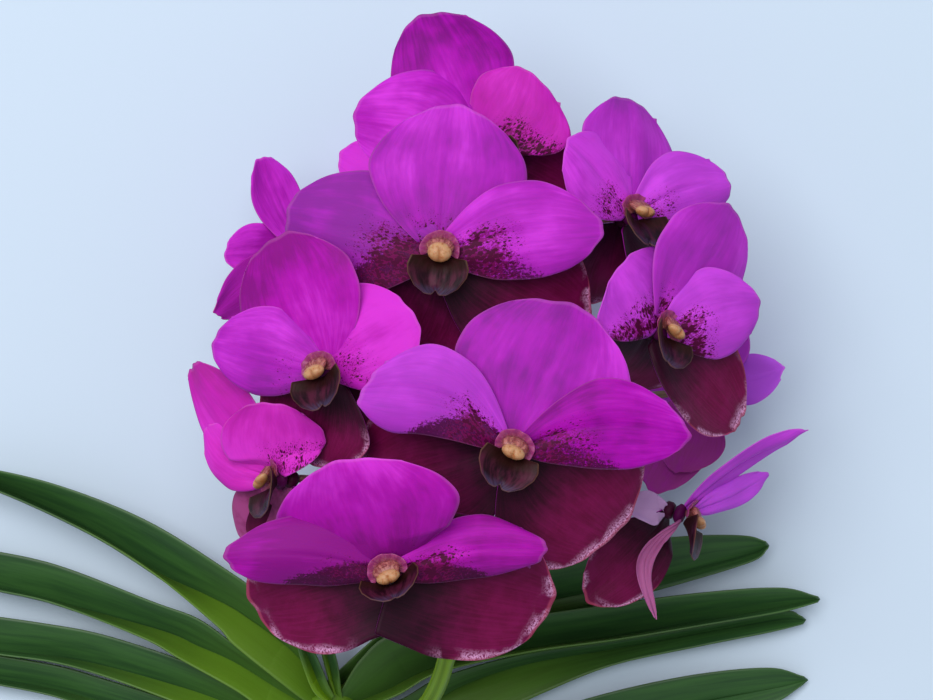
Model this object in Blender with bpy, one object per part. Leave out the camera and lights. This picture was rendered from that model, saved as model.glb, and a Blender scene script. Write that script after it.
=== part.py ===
# Vanda orchid: one spike of twelve blooms on its leafy shoot, cut below the lowest leaves.
# It lies on its back, so +Z points out of the front of the blooms, +Y up the spike and
# +X to the right of someone who looks down on it. The origin is the flat spot under the shoot.

import math

import bmesh
import bpy
import numpy as np

MM = 0.001

# The view the blooms are laid out in, looking straight down: sizes in mm, places in pixels
VIEW_CENTRE = (466.5, 350.0)
MM_PER_PIXEL = 0.30
BLOOM_FACE_HEIGHT = 105.0
EYE_ABOVE_BLOOMS = 900.0
REST_SPOT = (342.0, 738.0)

# Thicknesses and small parts, in mm
PETAL_THICKNESS = 0.9
LIP_THICKNESS = 0.8
LEAF_THICKNESS = 1.1
SHEATH_THICKNESS = 1.4
HUB_RADIUS = 3.4
HUB_LOW, HUB_HIGH = -1.5, 1.2
SEPAL_HUB_RADIUS = 3.0
SEPAL_HUB_LOW, SEPAL_HUB_HIGH = -5.7, -2.1
PEDICEL_END = -6.2
PEDICEL_RADII = (1.4, 1.2, 1.2, 1.2, 1.2, 1.2)
PEDICEL_LEAVES_UPWARDS = (0.0, 0.3, 0.1)
COLUMN_SIDES = 8
COLUMN_HEIGHTS = (4.0, 5.4, 7.0, 8.9)
COLUMN_RISES = (1.0, 1.8, 1.1, -0.4, -0.8)
COLUMN_HALF_WIDTHS = (1.4, 3.6, 4.3, 3.9, 1.6)
COLUMN_HALF_HEIGHTS = (0.7, 1.6, 2.2, 2.7, 1.2)
LIP_LENGTH = 11.5
LIP_SHARES = (0.0, 0.2, 0.42, 0.6, 0.85, 1.0)
LIP_HALF_WIDTHS = (3.0, 8.2, 9.2, 8.8, 6.6, 3.2)
LIP_SIDE_LOBES = (1.0, 4.6, 3.6, 2.6, 1.4, 0.4)
LIP_IN_FRONT = 2.4
LIP_IN_FRONT_WHEN_LEVEL = 1.7
LIP_BELOW = 2.4
LIP_BELOW_WHEN_LEVEL = 4.0
SPIKE_RADIUS_LOW, SPIKE_RADIUS_HIGH = 3.2, 1.8
SPIKE_RINGS = 15
SHOOT_RINGS = 6
LEAF_JOINT_GAP = 0.4

# Shares of a leaf's length that its clasping sheath takes
LEAF_JOINT = 0.17
YOUNG_LEAF_JOINT = 0.34

# The union of a node's blades
SOLVER = "EXACT"

# Colours of the pieces, roughness last
LOOKS = {
    "petals": (0.42, 0.02, 0.42, 0.55),
    "lateral_sepals": (0.10, 0.005, 0.04, 0.6),
    "lip": (0.03, 0.01, 0.05, 0.35),
    "column": (0.72, 0.42, 0.16, 0.5),
    "flower_stem": (0.20, 0.34, 0.03, 0.5),
    "leafy_shoot": (0.14, 0.30, 0.02, 0.45),
    "leaf": (0.03, 0.13, 0.03, 0.4),
}

# Rows of triangles along a petal and a lateral sepal
ROWS = {"petals": 6, "lateral_sepals": 5}

# Layers along a bloom's axis, and how far each kind of petal cups forward
LAYER = {"dorsal": -0.6, "petal_left": 0.6, "petal_right": 0.6, "sepal_left": -3.7, "sepal_right": -3.1}
CUP = {"dorsal": -0.1, "petal_left": -0.15, "petal_right": -0.15, "sepal_left": 0.1, "sepal_right": 0.1}


def tepal(px, py, ahead, width, **shape):
    """A petal or sepal: where its tip is seen, its height over the hub and its width in mm."""
    return dict(tip=(px, py, ahead), width=width, **shape)


def bloom(hub, faces, stalk, lip_drop=45, foot=1.6, along=6, **tepals):
    """A bloom: where its hub is seen and its height, the way it faces, its place on the spike, how far
    its lip hangs in degrees, and how far in front of the hub its column stands."""
    return dict(hub=hub, faces=faces, stalk=stalk, lip_drop=lip_drop, foot=foot, along=along, tepals=tepals)


BLOOMS = {
    "top": bloom(
        (484, 148, 94), (0, 10), 0.99,
        dorsal=tepal(425, 13, -10, 38),
        petal_left=tepal(354, 115, -2, 35, bow=2),
        petal_right=tepal(532, 74, 0, 34, bow=-4),
        sepal_left=tepal(440, 228, -8, 36),
        sepal_right=tepal(575, 190, -12, 34)),
    "upper_front": bloom(
        (440, 250, 112), (0, -2), 0.78, lip_drop=60,
        dorsal=tepal(456, 106, -3, 47),
        petal_left=tepal(285, 216, -17, 37),
        petal_right=tepal(602, 228, 0, 30, bow=2.5),
        sepal_left=tepal(388, 358, -22, 44, claw=0.25),
        sepal_right=tepal(586, 326, -14, 42)),
    "upper_left": bloom(
        (325, 370, 106), (-28, 0), 0.60, foot=1.9,
        dorsal=tepal(274, 236, -3, 43),
        petal_left=tepal(214, 341, -9, 27, bow=1),
        petal_right=tepal(415, 313, 8, 35, bow=1),
        sepal_left=tepal(303, 463, -11, 40),
        sepal_right=tepal(390, 462, -14, 40)),
    "upper_right": bloom(
        (630, 215, 92), (40, 12), 0.90, foot=2.6,
        dorsal=tepal(629, 98, -8, 39),
        petal_left=tepal(566, 142, 12, 28),
        petal_right=tepal(728, 181, -10, 24, bow=2),
        sepal_left=tepal(603, 300, -10, 38, claw=0.5),
        sepal_right=tepal(690, 290, -20, 32)),
    "middle_right": bloom(
        (660, 330, 98), (45, 0), 0.66, foot=2.6,
        dorsal=tepal(736, 210, -9, 40, claw=0.16),
        petal_left=tepal(621, 262, 9, 40),
        petal_right=tepal(758, 305, -9, 28, bow=1),
        sepal_left=tepal(609, 391, -12, 45, claw=0.6),
        sepal_right=tepal(747, 425, -19, 33, tip_width=0.35)),
    "middle_front": bloom(
        (513, 447, 119), (2, -6), 0.48,
        dorsal=tepal(573, 305, -1, 55),
        petal_left=tepal(361, 390, 4, 28, bow=7.5, claw=0.16, widest=0.72),
        petal_right=tepal(688, 432, 0, 27, bow=4.5, claw=0.16, widest=0.6),
        sepal_left=tepal(362, 484, -22, 50, claw=0.3, widest=0.5),
        sepal_right=tepal(620, 533, -18, 54, claw=0.25, widest=0.5)),
    "lower_left": bloom(
        (280, 479, 96), (-58, 0), 0.42, foot=2.6, along=5,
        dorsal=tepal(190, 365, -14, 22, look=(-40, 0), tip_width=0.4),
        petal_left=tepal(207, 428, -12, 17, look=(-40, 10), bow=-3),
        petal_right=tepal(272, 402, 6, 33, claw=0.3, widest=0.42, look=(-10, 10)),
        sepal_left=tepal(242, 556, -14, 26, look=(-30, 0)),
        sepal_right=tepal(312, 548, -14, 36, look=(-15, 0))),
    "lower_front": bloom(
        (388, 570, 124), (0, -8), 0.30, lip_drop=0,
        dorsal=tepal(342, 461, 17, 57, roll=-20),
        petal_left=tepal(224, 556, 3, 21, bow=3, cup=-0.5),
        petal_right=tepal(547, 549, 3, 19, bow=3, cup=-0.5),
        sepal_left=tepal(250, 607, -16, 40, claw=0.9, widest=0.5),
        sepal_right=tepal(552, 608, -16, 44, claw=0.9, widest=0.5)),
    "lower_right": bloom(
        (680, 514, 70), (72, -18), 0.44, foot=2.6,
        dorsal=tepal(807, 430, -6, 13, claw=0.16, look=(60, -30), curl=20),
        petal_left=tepal(654, 619, 14, 5, claw=0.16, look=(0, 0), bow=9),
        petal_right=tepal(766, 474, -20, 10, claw=0.16, look=(10, -20)),
        sepal_left=tepal(597, 603, 0, 25, look=(25, 0)),
        sepal_right=tepal(636, 508, 8, 11, look=(0, 20))),
    "back_left": bloom(
        (300, 250, 34), (-145, 0), 0.72, lip_drop=66, along=4,
        dorsal=tepal(259, 157, 8, 18),
        petal_left=tepal(365, 245, -29, 28),
        petal_right=tepal(226, 254, 12, 19),
        sepal_left=tepal(332, 345, -10, 28),
        sepal_right=tepal(211, 314, 22, 17, tip_width=0.4)),
    "back_right": bloom(
        (704, 392, 34), (145, 0), 0.58, lip_drop=70, foot=2.6, along=4,
        dorsal=tepal(716, 300, 3, 30),
        petal_left=tepal(782, 369, 18, 16, tip_width=0.4),
        petal_right=tepal(648, 392, -25, 28),
        sepal_left=tepal(683, 472, 0, 26, tip_width=0.4),
        sepal_right=tepal(654, 490, -6, 24)),
    "back_upper": bloom(
        (440, 200, 22), (180, 0), 0.86, lip_drop=52, foot=2.8, along=4,
        dorsal=tepal(500, 100, -22, 34),
        petal_left=tepal(545, 240, -20, 30),
        petal_right=tepal(340, 155, -12, 27),
        sepal_left=tepal(490, 320, -3, 36),
        sepal_right=tepal(368, 290, -4, 32)),
}

# The spike from its root in the shoot to its top, and the shoot's own stem: pixel, pixel, height
SPIKE_LINE = [(358.5, 746, 17.6), (366, 745, 22), (380, 742, 25.5), (405, 732, 30), (430, 700, 38),
              (446, 660, 50), (455, 600, 60), (458, 500, 66), (460, 400, 70),
              (466, 300, 72), (472, 200, 74), (478, 158, 78)]
SHOOT_LINE = [(327, 690, 10), (334, 712, 8.4), (342, 738, 8.3), (356, 776, 8.4)]
SHOOT_RADII = (6.5, 9.0, 9.5, 9.2)

# Each leaf runs through three lines: its upper margin, its keel and its lower margin
LEAVES = {
    "leaf_left_1": dict(
        upper=[(330, 694, 14), (312, 655, 17), (275, 607, 19), (222, 567, 19),
               (143, 519, 18), (53, 484, 17), (-30, 466, 15), (-60, 468, 12)],
        keel=[(328, 700, 9), (297, 655, 10), (244, 615, 10), (208, 596, 9),
              (154, 572, 8), (89, 532, 8), (0, 490, 7), (-62, 472, 8)],
        lower=[(320, 712, 12), (290, 690, 17), (235, 646, 18), (217, 626, 18),
               (156, 575, 20), (89, 533, 20), (0, 492, 18), (-60, 476, 12)]),
    "leaf_left_2": dict(
        upper=[(332, 708, 10), (290, 682, 12), (235, 645, 13), (198, 619, 13),
               (153, 602, 12), (53, 564, 12), (-30, 548, 10), (-62, 551, 8)],
        keel=[(330, 718, 8), (281, 690, 7), (235, 662, 6), (198, 646, 5),
              (162, 631, 5), (53, 602, 5), (-20, 584, 5), (-64, 560, 5)],
        lower=[(326, 726, 10), (275, 716, 13), (235, 690, 14), (180, 659, 15),
               (143, 638, 15), (53, 603, 16), (-20, 586, 13), (-62, 566, 9)]),
    "leaf_left_3": dict(
        upper=[(338, 730, 9), (290, 712, 9), (240, 686, 9), (184, 661, 9),
               (107, 636, 9), (53, 625, 9), (-30, 614, 8), (-60, 618, 6)],
        keel=[(336, 738, 7), (290, 726, 4), (240, 708, 3), (190, 690, 3),
              (107, 667, 3), (53, 657, 3), (-20, 648, 3), (-62, 628, 3)],
        lower=[(334, 744, 9), (285, 742, 9), (235, 726, 10), (180, 704, 11),
               (107, 677, 11), (53, 662, 12), (-20, 651, 10), (-60, 634, 7)]),
    "leaf_left_4": dict(
        upper=[(344, 748, 8), (290, 742, 5), (230, 722, 5), (170, 700, 5),
               (107, 680, 5), (53, 665, 6), (-30, 652, 6), (-58, 655, 5)],
        keel=[(343, 756, 6), (290, 758, 2), (230, 742, 1.5), (170, 722, 1.5),
              (107, 704, 1.5), (53, 690, 1.5), (-20, 678, 1.5), (-60, 664, 2)],
        lower=[(342, 764, 8), (286, 772, 6), (230, 760, 7), (170, 740, 8),
               (107, 716, 8), (53, 696, 9), (-20, 681, 8), (-58, 671, 5)]),
    "leaf_right_1": dict(
        upper=[(326, 682, 11), (400, 618, 17), (470, 580, 20), (560, 556, 21),
               (620, 543, 21), (692, 536, 19), (745, 536, 16), (766, 542, 14)],
        keel=[(330, 690, 8), (405, 648, 6), (470, 617, 6), (560, 598, 7),
              (620, 586, 9), (665, 577, 10), (749, 555, 10), (769, 545, 11)],
        lower=[(332, 700, 8), (412, 664, 5), (475, 638, 5), (560, 614, 6),
               (620, 600, 10), (665, 588, 13), (750, 562, 13), (768, 548, 12)]),
    "leaf_right_2": dict(
        upper=[(336, 700, 15), (362, 658, 17), (400, 632, 18), (500, 620, 17),
               (600, 606, 16), (700, 593, 14), (780, 588, 12), (818, 597, 10)],
        keel=[(338, 710, 9), (385, 692, 8), (437, 668, 7), (528, 650, 6),
              (620, 637, 6), (710, 621, 6), (780, 608, 7), (820, 599, 8)],
        lower=[(340, 716, 12), (395, 696, 18), (440, 672, 19), (528, 652, 18),
               (620, 639, 18), (710, 624, 17), (780, 612, 13), (818, 602, 9)]),
    "leaf_right_3": dict(
        upper=[(340, 722, 12), (400, 700, 9), (440, 678, 8), (520, 655, 7),
               (620, 640, 7), (710, 625, 7), (782, 611, 7), (802, 617, 6)],
        keel=[(344, 732, 8), (405, 718, 4), (463, 685, 3), (530, 663, 3),
              (613, 649, 3), (700, 633, 3), (775, 621, 3), (806, 620, 4)],
        lower=[(346, 740, 11), (420, 742, 9), (480, 722, 10), (545, 692, 10),
               (613, 665, 10), (700, 646, 9), (770, 632, 7), (803, 624, 5)]),
    "leaf_right_4": dict(
        upper=[(346, 748, 10), (420, 752, 7), (480, 734, 7), (540, 713, 6),
               (620, 690, 6), (700, 674, 6), (770, 668, 5), (804, 677, 4)],
        keel=[(350, 756, 7), (420, 765, 2), (480, 752, 1.5), (560, 735, 1.5),
              (640, 715, 1.5), (710, 700, 1.5), (775, 688, 2), (808, 680, 2)],
        lower=[(352, 764, 9), (420, 782, 7), (480, 772, 8), (560, 760, 8),
               (640, 744, 8), (720, 724, 7), (775, 703, 5), (802, 685, 3)]),
    "leaf_young_1": dict(
        upper=[(334, 696, 19), (328, 684, 22), (318, 660, 26), (308, 640, 28), (300, 624, 29)],
        keel=[(331, 700, 16), (321, 688, 18), (311, 664, 21), (303, 642, 25), (298, 624, 28)],
        lower=[(328, 704, 19), (314, 692, 22), (304, 668, 26), (297, 644, 28), (296, 625, 29)]),
    "leaf_young_2": dict(
        upper=[(342, 698, 15), (340, 682, 19), (337, 662, 21), (330, 640, 23), (320, 624, 25)],
        keel=[(338, 700, 11), (334, 688, 15), (329, 664, 17), (323, 642, 20), (317, 624, 23)],
        lower=[(337, 702, 13), (332, 690, 17), (325, 666, 19), (319, 644, 22), (315, 626, 24)]),
}


def seen_from_centre(px, py, height):
    """The point in mm at a height whose image falls on a pixel, measured from the view's centre."""
    scale = MM_PER_PIXEL * (EYE_ABOVE_BLOOMS + BLOOM_FACE_HEIGHT - height) / EYE_ABOVE_BLOOMS
    return np.array([(px - VIEW_CENTRE[0]) * scale, (VIEW_CENTRE[1] - py) * scale, height])


ORIGIN = seen_from_centre(*REST_SPOT, 0.0)


def seen(px, py, height):
    return seen_from_centre(px, py, height) - ORIGIN


def unit(v):
    v = np.asarray(v, float)
    return v / np.linalg.norm(v, axis=-1, keepdims=True)


def facing(turn_right, turn_up):
    """The direction turned to the right and up, in degrees, from straight out of the front."""
    right, up = math.radians(turn_right), math.radians(turn_up)
    return np.array([math.sin(right) * math.cos(up), math.sin(up), math.cos(right) * math.cos(up)])


def smooth_line(points, shares):
    """Points at the given shares of the length of a smooth line through the given points."""
    p = np.asarray(points, float)
    p = np.vstack([2 * p[0] - p[1], p, 2 * p[-1] - p[-2]])
    u = np.linspace(0, 1, 24, endpoint=False)[:, None]
    pieces = []
    for a, b, c, d in zip(p, p[1:], p[2:], p[3:]):
        pieces.append(0.5 * (2 * b + (c - a) * u + (2 * a - 5 * b + 4 * c - d) * u**2
                             + (3 * b - a - 3 * c + d) * u**3))
    line = np.vstack(pieces + [p[-2:-1]])
    along = np.r_[0, np.cumsum(np.linalg.norm(np.diff(line, axis=0), axis=1))]
    at = np.asarray(shares) * along[-1]
    return np.stack([np.interp(at, along, line[:, k]) for k in range(3)], axis=1)


def tepal_sheet(hub, axis, tip, width, layer, cup, curl=-20, roll=0, look=None, bow=0,
                claw=0.3, widest=0.55, tip_width=0.62, start=1.6, along=6, across=4):
    """The middle sheet of a petal: a claw that widens to a round end, arched along and cupped across."""
    ahead = unit(tip)
    chord = np.linalg.norm(tip) - start
    out = unit(axis - np.dot(axis, ahead) * ahead)
    side = np.cross(out, ahead)
    if look is not None:
        wanted = facing(*look)
        roll = math.degrees(math.atan2(-np.dot(wanted, side), np.dot(wanted, out)))
    s = np.linspace(0, 1, along + 1)[:, None]
    t = np.linspace(-1, 1, across + 1)[None, :]
    rise = 1 - np.clip(1 - s / widest, 0, 1)**2
    fall = np.clip((s - widest) / (1 - widest), 0, 1)**2
    half_width = (claw + (1 - claw) * rise - (1 - tip_width) * fall) * width / 2
    tip_slope = 2 * (1 - tip_width) / (1 - widest)
    x = s - tip_width / (2 * (tip_width + tip_slope)) * s**2 * t**2
    bend = math.radians(curl)
    length = chord * (bend / 2) / math.sin(bend / 2)
    slope = bend * (x - 0.5)
    reach = (np.sin(slope) + math.sin(bend / 2)) / bend * length
    arch = (math.cos(bend / 2) - np.cos(slope)) / bend * length
    turn = np.radians(roll) * np.clip(s * 4, 0, 1) + 0 * t
    upright = (-np.sin(slope)[..., None] * ahead + np.cos(slope)[..., None] * out)
    lateral = np.cos(turn)[..., None] * side + np.sin(turn)[..., None] * upright
    normal = -np.sin(turn)[..., None] * side + np.cos(turn)[..., None] * upright
    across_mm = t * half_width
    swing = math.copysign(bow, bow * side[1]) * np.sin(math.pi * np.clip(x, 0, 1))
    lift = cup * across_mm**2 / (width / 2)
    return (hub + axis * layer + ahead * (start + reach)[..., None] + out * arch[..., None]
            + lateral * (across_mm + swing)[..., None] + normal * lift[..., None])


def lip_sheet(hub, axis, up, drop, along=4, across=4):
    """The lip: a short trough whose side lobes stand up and whose front lobe spreads."""
    right = np.cross(up, axis)
    fall = math.radians(drop)
    ahead = math.cos(fall) * axis - math.sin(fall) * up
    top = math.sin(fall) * axis + math.cos(fall) * up
    s = np.linspace(0, 1, along + 1)[:, None]
    t = np.linspace(-1, 1, across + 1)[None, :]
    half = np.interp(s, LIP_SHARES, LIP_HALF_WIDTHS)
    lobes = np.interp(s, LIP_SHARES, LIP_SIDE_LOBES) * np.abs(t)**1.6
    below = np.interp(drop, (0, 45), (LIP_BELOW_WHEN_LEVEL, LIP_BELOW))
    in_front = np.interp(drop, (0, 45), (LIP_IN_FRONT_WHEN_LEVEL, LIP_IN_FRONT))
    base = hub + axis * in_front - up * below
    return (base + ahead * (s * LIP_LENGTH)[..., None] + right * (t * half)[..., None]
            + top * (lobes - 2.2 * s**2)[..., None])


def leaf_sheet(upper, keel, lower, start, end, along=7):
    """A keeled strap through its three lines, from one share of its length to another."""
    shares = np.linspace(start, end, along + 1)
    u, k, d = (smooth_line([seen(*p) for p in line], shares) for line in (upper, keel, lower))
    return np.stack([u, (u + k) / 2, k, (k + d) / 2, d], axis=1)


def new_object(name, bm):
    """Make an object of a closed bmesh in mm, lying on the ground where it would dip below it."""
    for v in bm.verts:
        v.co.z = max(v.co.z, 0.0)
        v.co *= MM
    bmesh.ops.recalc_face_normals(bm, faces=bm.faces)
    mesh = bpy.data.meshes.new(name)
    bm.to_mesh(mesh)
    bm.free()
    obj = bpy.data.objects.new(name, mesh)
    bpy.context.scene.collection.objects.link(obj)
    return obj


def blade(name, sheet, thickness):
    """A thin blade around a sheet of points, split into triangles alike on both faces."""
    rows, columns = sheet.shape[:2]
    sheet = sheet.copy()
    sheet[..., 2] = np.maximum(sheet[..., 2], thickness / 2)
    normals = unit(np.cross(np.gradient(sheet, axis=0), np.gradient(sheet, axis=1)))
    lying = sheet[..., 2] <= thickness / 2 + 1e-6
    normals[lying] = np.sign(normals[lying][:, 2:]) * np.array([0.0, 0.0, 1.0])
    bm = bmesh.new()
    sides = []
    for shift in (thickness / 2, -thickness / 2):
        points = sheet + normals * shift
        sides.append([[bm.verts.new(points[i, j]) for j in range(columns)] for i in range(rows)])
    for grid in sides:
        for i in range(rows - 1):
            for j in range(columns - 1):
                a, b = grid[i][j], grid[i][j + 1]
                c, d = grid[i + 1][j + 1], grid[i + 1][j]
                bm.faces.new((a, b, c))
                bm.faces.new((a, c, d))
    rim = [(i, 0) for i in range(rows)]
    rim += [(rows - 1, j) for j in range(1, columns)]
    rim += [(i, columns - 1) for i in range(rows - 2, -1, -1)]
    rim += [(0, j) for j in range(columns - 2, 0, -1)]
    front, back = sides
    for (i, j), (m, n) in zip(rim, rim[1:] + rim[:1]):
        bm.faces.new((front[i][j], front[m][n], back[m][n]))
        bm.faces.new((front[i][j], back[m][n], back[i][j]))
    return new_object(name, bm)


def ringed(name, rings):
    """A closed body through rings of as many points each."""
    bm = bmesh.new()
    rings = [[bm.verts.new(point) for point in ring] for ring in rings]
    for low, high in zip(rings, rings[1:]):
        for k in range(len(low)):
            bm.faces.new((low[k], low[k - 1], high[k - 1], high[k]))
    bm.faces.new(rings[0])
    bm.faces.new(rings[-1])
    bmesh.ops.triangulate(bm, faces=bm.faces)
    return new_object(name, bm)


def tube(name, centres, radii, sides):
    """A closed tube of rings through the centres."""
    centres = np.asarray(centres, float)
    tangents = unit(np.gradient(centres, axis=0))
    level = (0, 0, 1) if abs(tangents[0][2]) < 0.9 else (0, 1, 0)
    x = np.cross(tangents[0], level)
    rings = []
    for centre, tangent, radius in zip(centres, tangents, radii):
        x = unit(x - np.dot(x, tangent) * tangent)
        y = np.cross(tangent, x)
        angles = [2 * math.pi * (k + 0.5) / sides for k in range(sides)]
        rings.append([centre + (x * math.cos(a) + y * math.sin(a)) * radius for a in angles])
    return ringed(name, rings)


def column(name, hub, axis, up, foot):
    """A column: flat rounds across the bloom's face, from its small foot to its cap."""
    right = np.cross(up, axis)
    angles = [2 * math.pi * k / COLUMN_SIDES for k in range(COLUMN_SIDES)]
    rings = []
    rounds = zip((foot,) + COLUMN_HEIGHTS, COLUMN_RISES, COLUMN_HALF_WIDTHS, COLUMN_HALF_HEIGHTS)
    for height, rise, wide, high in rounds:
        centre = hub + axis * height + up * rise
        rings.append([centre + right * (wide * math.cos(a)) + up * (high * math.sin(a)) for a in angles])
    return ringed(name, rings)


def disc(name, centre, axis, low, high, radius):
    return tube(name, [centre + axis * low, centre + axis * high], (radius, radius), 6)


def fuse(base, others):
    """Join the base and the others into one body."""
    group = bpy.data.collections.new(base.name + "_parts")
    bpy.context.scene.collection.children.link(group)
    for obj in others:
        bpy.context.scene.collection.objects.unlink(obj)
        group.objects.link(obj)
    union = base.modifiers.new("union", "BOOLEAN")
    union.operation = "UNION"
    union.operand_type = "COLLECTION"
    union.collection = group
    union.solver = SOLVER
    bpy.context.view_layer.update()
    joined = base.evaluated_get(bpy.context.evaluated_depsgraph_get())
    mesh = bpy.data.meshes.new_from_object(joined)
    base.modifiers.remove(union)
    base.data = mesh
    for obj in list(group.objects):
        bpy.data.objects.remove(obj)
    bpy.data.collections.remove(group)
    return base


def finish(obj, kind):
    """Give a node its own material and smooth shading."""
    red, green, blue, roughness = LOOKS[kind]
    material = bpy.data.materials.new(obj.name + "_surface")
    material.use_nodes = True
    shader = material.node_tree.nodes["Principled BSDF"]
    shader.inputs["Base Color"].default_value = (red, green, blue, 1.0)
    shader.inputs["Roughness"].default_value = roughness
    shader.inputs["Metallic"].default_value = 0.0
    obj.data.materials.clear()
    obj.data.materials.append(material)
    obj.data.shade_smooth()
    obj.data.set_sharp_from_angle(angle=math.radians(40))


def make_bloom(name, spec):
    """The four pieces of a bloom: lateral sepals, petals with the dorsal sepal, column, lip."""
    hub = seen(*spec["hub"])
    axis = facing(*spec["faces"])
    groups = {"petals": [], "lateral_sepals": []}
    for part, shape in spec["tepals"].items():
        shape = dict(shape)
        px, py, ahead = shape.pop("tip")
        tip = seen(px, py, spec["hub"][2] + ahead) - hub
        shape.setdefault("cup", CUP[part])
        group = "lateral_sepals" if part.startswith("sepal") else "petals"
        along = min(spec["along"], ROWS[group])
        sheet = tepal_sheet(hub, axis, tip, layer=LAYER[part], along=along, **shape)
        groups[group].append(blade(name + "_" + part, sheet, PETAL_THICKNESS))
        if part == "dorsal":
            up = unit(tip - np.dot(tip, axis) * axis)
    petals = disc(name + "_petals", hub, axis, HUB_LOW, HUB_HIGH, HUB_RADIUS)
    sepals = disc(name + "_lateral_sepals", hub, axis, SEPAL_HUB_LOW, SEPAL_HUB_HIGH, SEPAL_HUB_RADIUS)
    finish(fuse(petals, groups["petals"]), "petals")
    finish(fuse(sepals, groups["lateral_sepals"]), "lateral_sepals")
    finish(column(name + "_column", hub, axis, up, spec["foot"]), "column")
    finish(blade(name + "_lip", lip_sheet(hub, axis, up, spec["lip_drop"]), LIP_THICKNESS), "lip")


def make_flower_stem():
    """The spike and a curved pedicel from it to the back of every bloom, in one body."""
    points = [seen(*p) for p in SPIKE_LINE]
    line = smooth_line(points, np.linspace(0, 1, SPIKE_RINGS))
    radii = np.linspace(SPIKE_RADIUS_LOW, SPIKE_RADIUS_HIGH, SPIKE_RINGS)
    spike = tube("flower_stem", line, radii, 8)
    pedicels = []
    for name, spec in BLOOMS.items():
        axis = facing(*spec["faces"])
        root = smooth_line(points, [spec["stalk"]])[0]
        end = seen(*spec["hub"]) + axis * PEDICEL_END
        reach = np.linalg.norm(end - root)
        leave = root + (0.8 * unit(end - root) + np.array(PEDICEL_LEAVES_UPWARDS)) * reach / 3
        arrive = end - axis * reach * 0.3
        u = np.linspace(0, 1, len(PEDICEL_RADII))[:, None]
        curve = (1 - u)**3 * root + 3 * (1 - u)**2 * u * leave + 3 * (1 - u) * u**2 * arrive + u**3 * end
        pedicels.append(tube(name + "_pedicel", curve, PEDICEL_RADII, 5))
    finish(fuse(spike, pedicels), "flower_stem")


def make_shoot():
    """The shoot's stem with the sheath that each leaf grows from, and the leaves beyond their joints."""
    line = smooth_line([seen(*p) for p in SHOOT_LINE], np.linspace(0, 1, SHOOT_RINGS))
    radii = np.interp(np.linspace(0, 3, SHOOT_RINGS), range(4), SHOOT_RADII)
    stem = tube("leafy_shoot", line, radii, 12)
    sheaths = []
    for name, lines in LEAVES.items():
        joint = YOUNG_LEAF_JOINT if "young" in name else LEAF_JOINT
        sheet = leaf_sheet(**lines, start=0, end=joint, along=2)
        sheaths.append(blade(name + "_sheath", sheet, SHEATH_THICKNESS))
        keel = np.array([seen(*p) for p in lines["keel"]])
        length = np.linalg.norm(np.diff(keel, axis=0), axis=1).sum()
        leaf = leaf_sheet(**lines, start=joint + LEAF_JOINT_GAP / length, end=1)
        finish(blade(name, leaf, LEAF_THICKNESS), "leaf")
    finish(fuse(stem, sheaths), "leafy_shoot")


def main():
    for obj in list(bpy.data.objects):
        bpy.data.objects.remove(obj)
    for name, spec in BLOOMS.items():
        make_bloom(name, spec)
    make_flower_stem()
    make_shoot()


main()
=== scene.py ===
# The looks of a cut vanda orchid: one spike of twelve magenta blooms on its leafy shoot, lying on
# its back. The sizes are in mm and turn into metres where a mesh is made.

import math

import bmesh
import bpy
import numpy as np
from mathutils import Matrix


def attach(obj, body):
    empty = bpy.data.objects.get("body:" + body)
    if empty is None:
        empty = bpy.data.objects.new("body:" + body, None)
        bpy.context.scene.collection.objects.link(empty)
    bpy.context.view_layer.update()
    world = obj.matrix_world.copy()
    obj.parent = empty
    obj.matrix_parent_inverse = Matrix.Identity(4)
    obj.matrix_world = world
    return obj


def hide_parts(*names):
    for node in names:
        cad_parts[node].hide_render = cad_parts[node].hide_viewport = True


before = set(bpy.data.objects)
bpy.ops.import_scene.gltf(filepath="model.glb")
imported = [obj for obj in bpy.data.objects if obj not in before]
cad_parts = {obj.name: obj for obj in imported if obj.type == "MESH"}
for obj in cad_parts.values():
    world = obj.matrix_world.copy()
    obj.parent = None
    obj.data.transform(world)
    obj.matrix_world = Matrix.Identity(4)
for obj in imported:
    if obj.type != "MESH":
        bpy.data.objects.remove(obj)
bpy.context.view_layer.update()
MM = 0.001

# The view
# Someone looks straight down on the orchid from 0.9 m over its front blooms. Its pieces are laid
# out as this view shows them: by a pixel of the 933 x 700 frame and a height over the table.
VIEW_CENTRE = (466.5, 350.0)
VIEW_WIDTH = 933.0
MM_PER_PIXEL = 0.30
BLOOM_FACE_HEIGHT = 105.0
EYE_ABOVE_BLOOMS = 900.0
REST_SPOT = (342.0, 738.0)
SENSOR_WIDTH = 36.0


def seen_from_centre(px, py, height):
    """The point at a height whose image falls on a pixel, measured from under the eye: the pixel's
    distance from the middle of the view, times the size of a pixel at that height."""
    scale = MM_PER_PIXEL * (EYE_ABOVE_BLOOMS + BLOOM_FACE_HEIGHT - height) / EYE_ABOVE_BLOOMS
    return np.array([(px - VIEW_CENTRE[0]) * scale, (VIEW_CENTRE[1] - py) * scale, height])


UNDER_THE_EYE = -seen_from_centre(*REST_SPOT, 0.0)


def seen(px, py, height):
    """The same point, measured from the flat spot under the shoot."""
    return seen_from_centre(px, py, height) + UNDER_THE_EYE


eye = UNDER_THE_EYE + np.array([0.0, 0.0, EYE_ABOVE_BLOOMS + BLOOM_FACE_HEIGHT])
camera_data = bpy.data.cameras.new("camera")
camera_data.sensor_width = SENSOR_WIDTH
camera_data.lens = EYE_ABOVE_BLOOMS / MM_PER_PIXEL * SENSOR_WIDTH / VIEW_WIDTH
camera = bpy.data.objects.new("camera", camera_data)
camera.location = eye * MM
bpy.context.scene.collection.objects.link(camera)
bpy.context.scene.camera = camera

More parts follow.
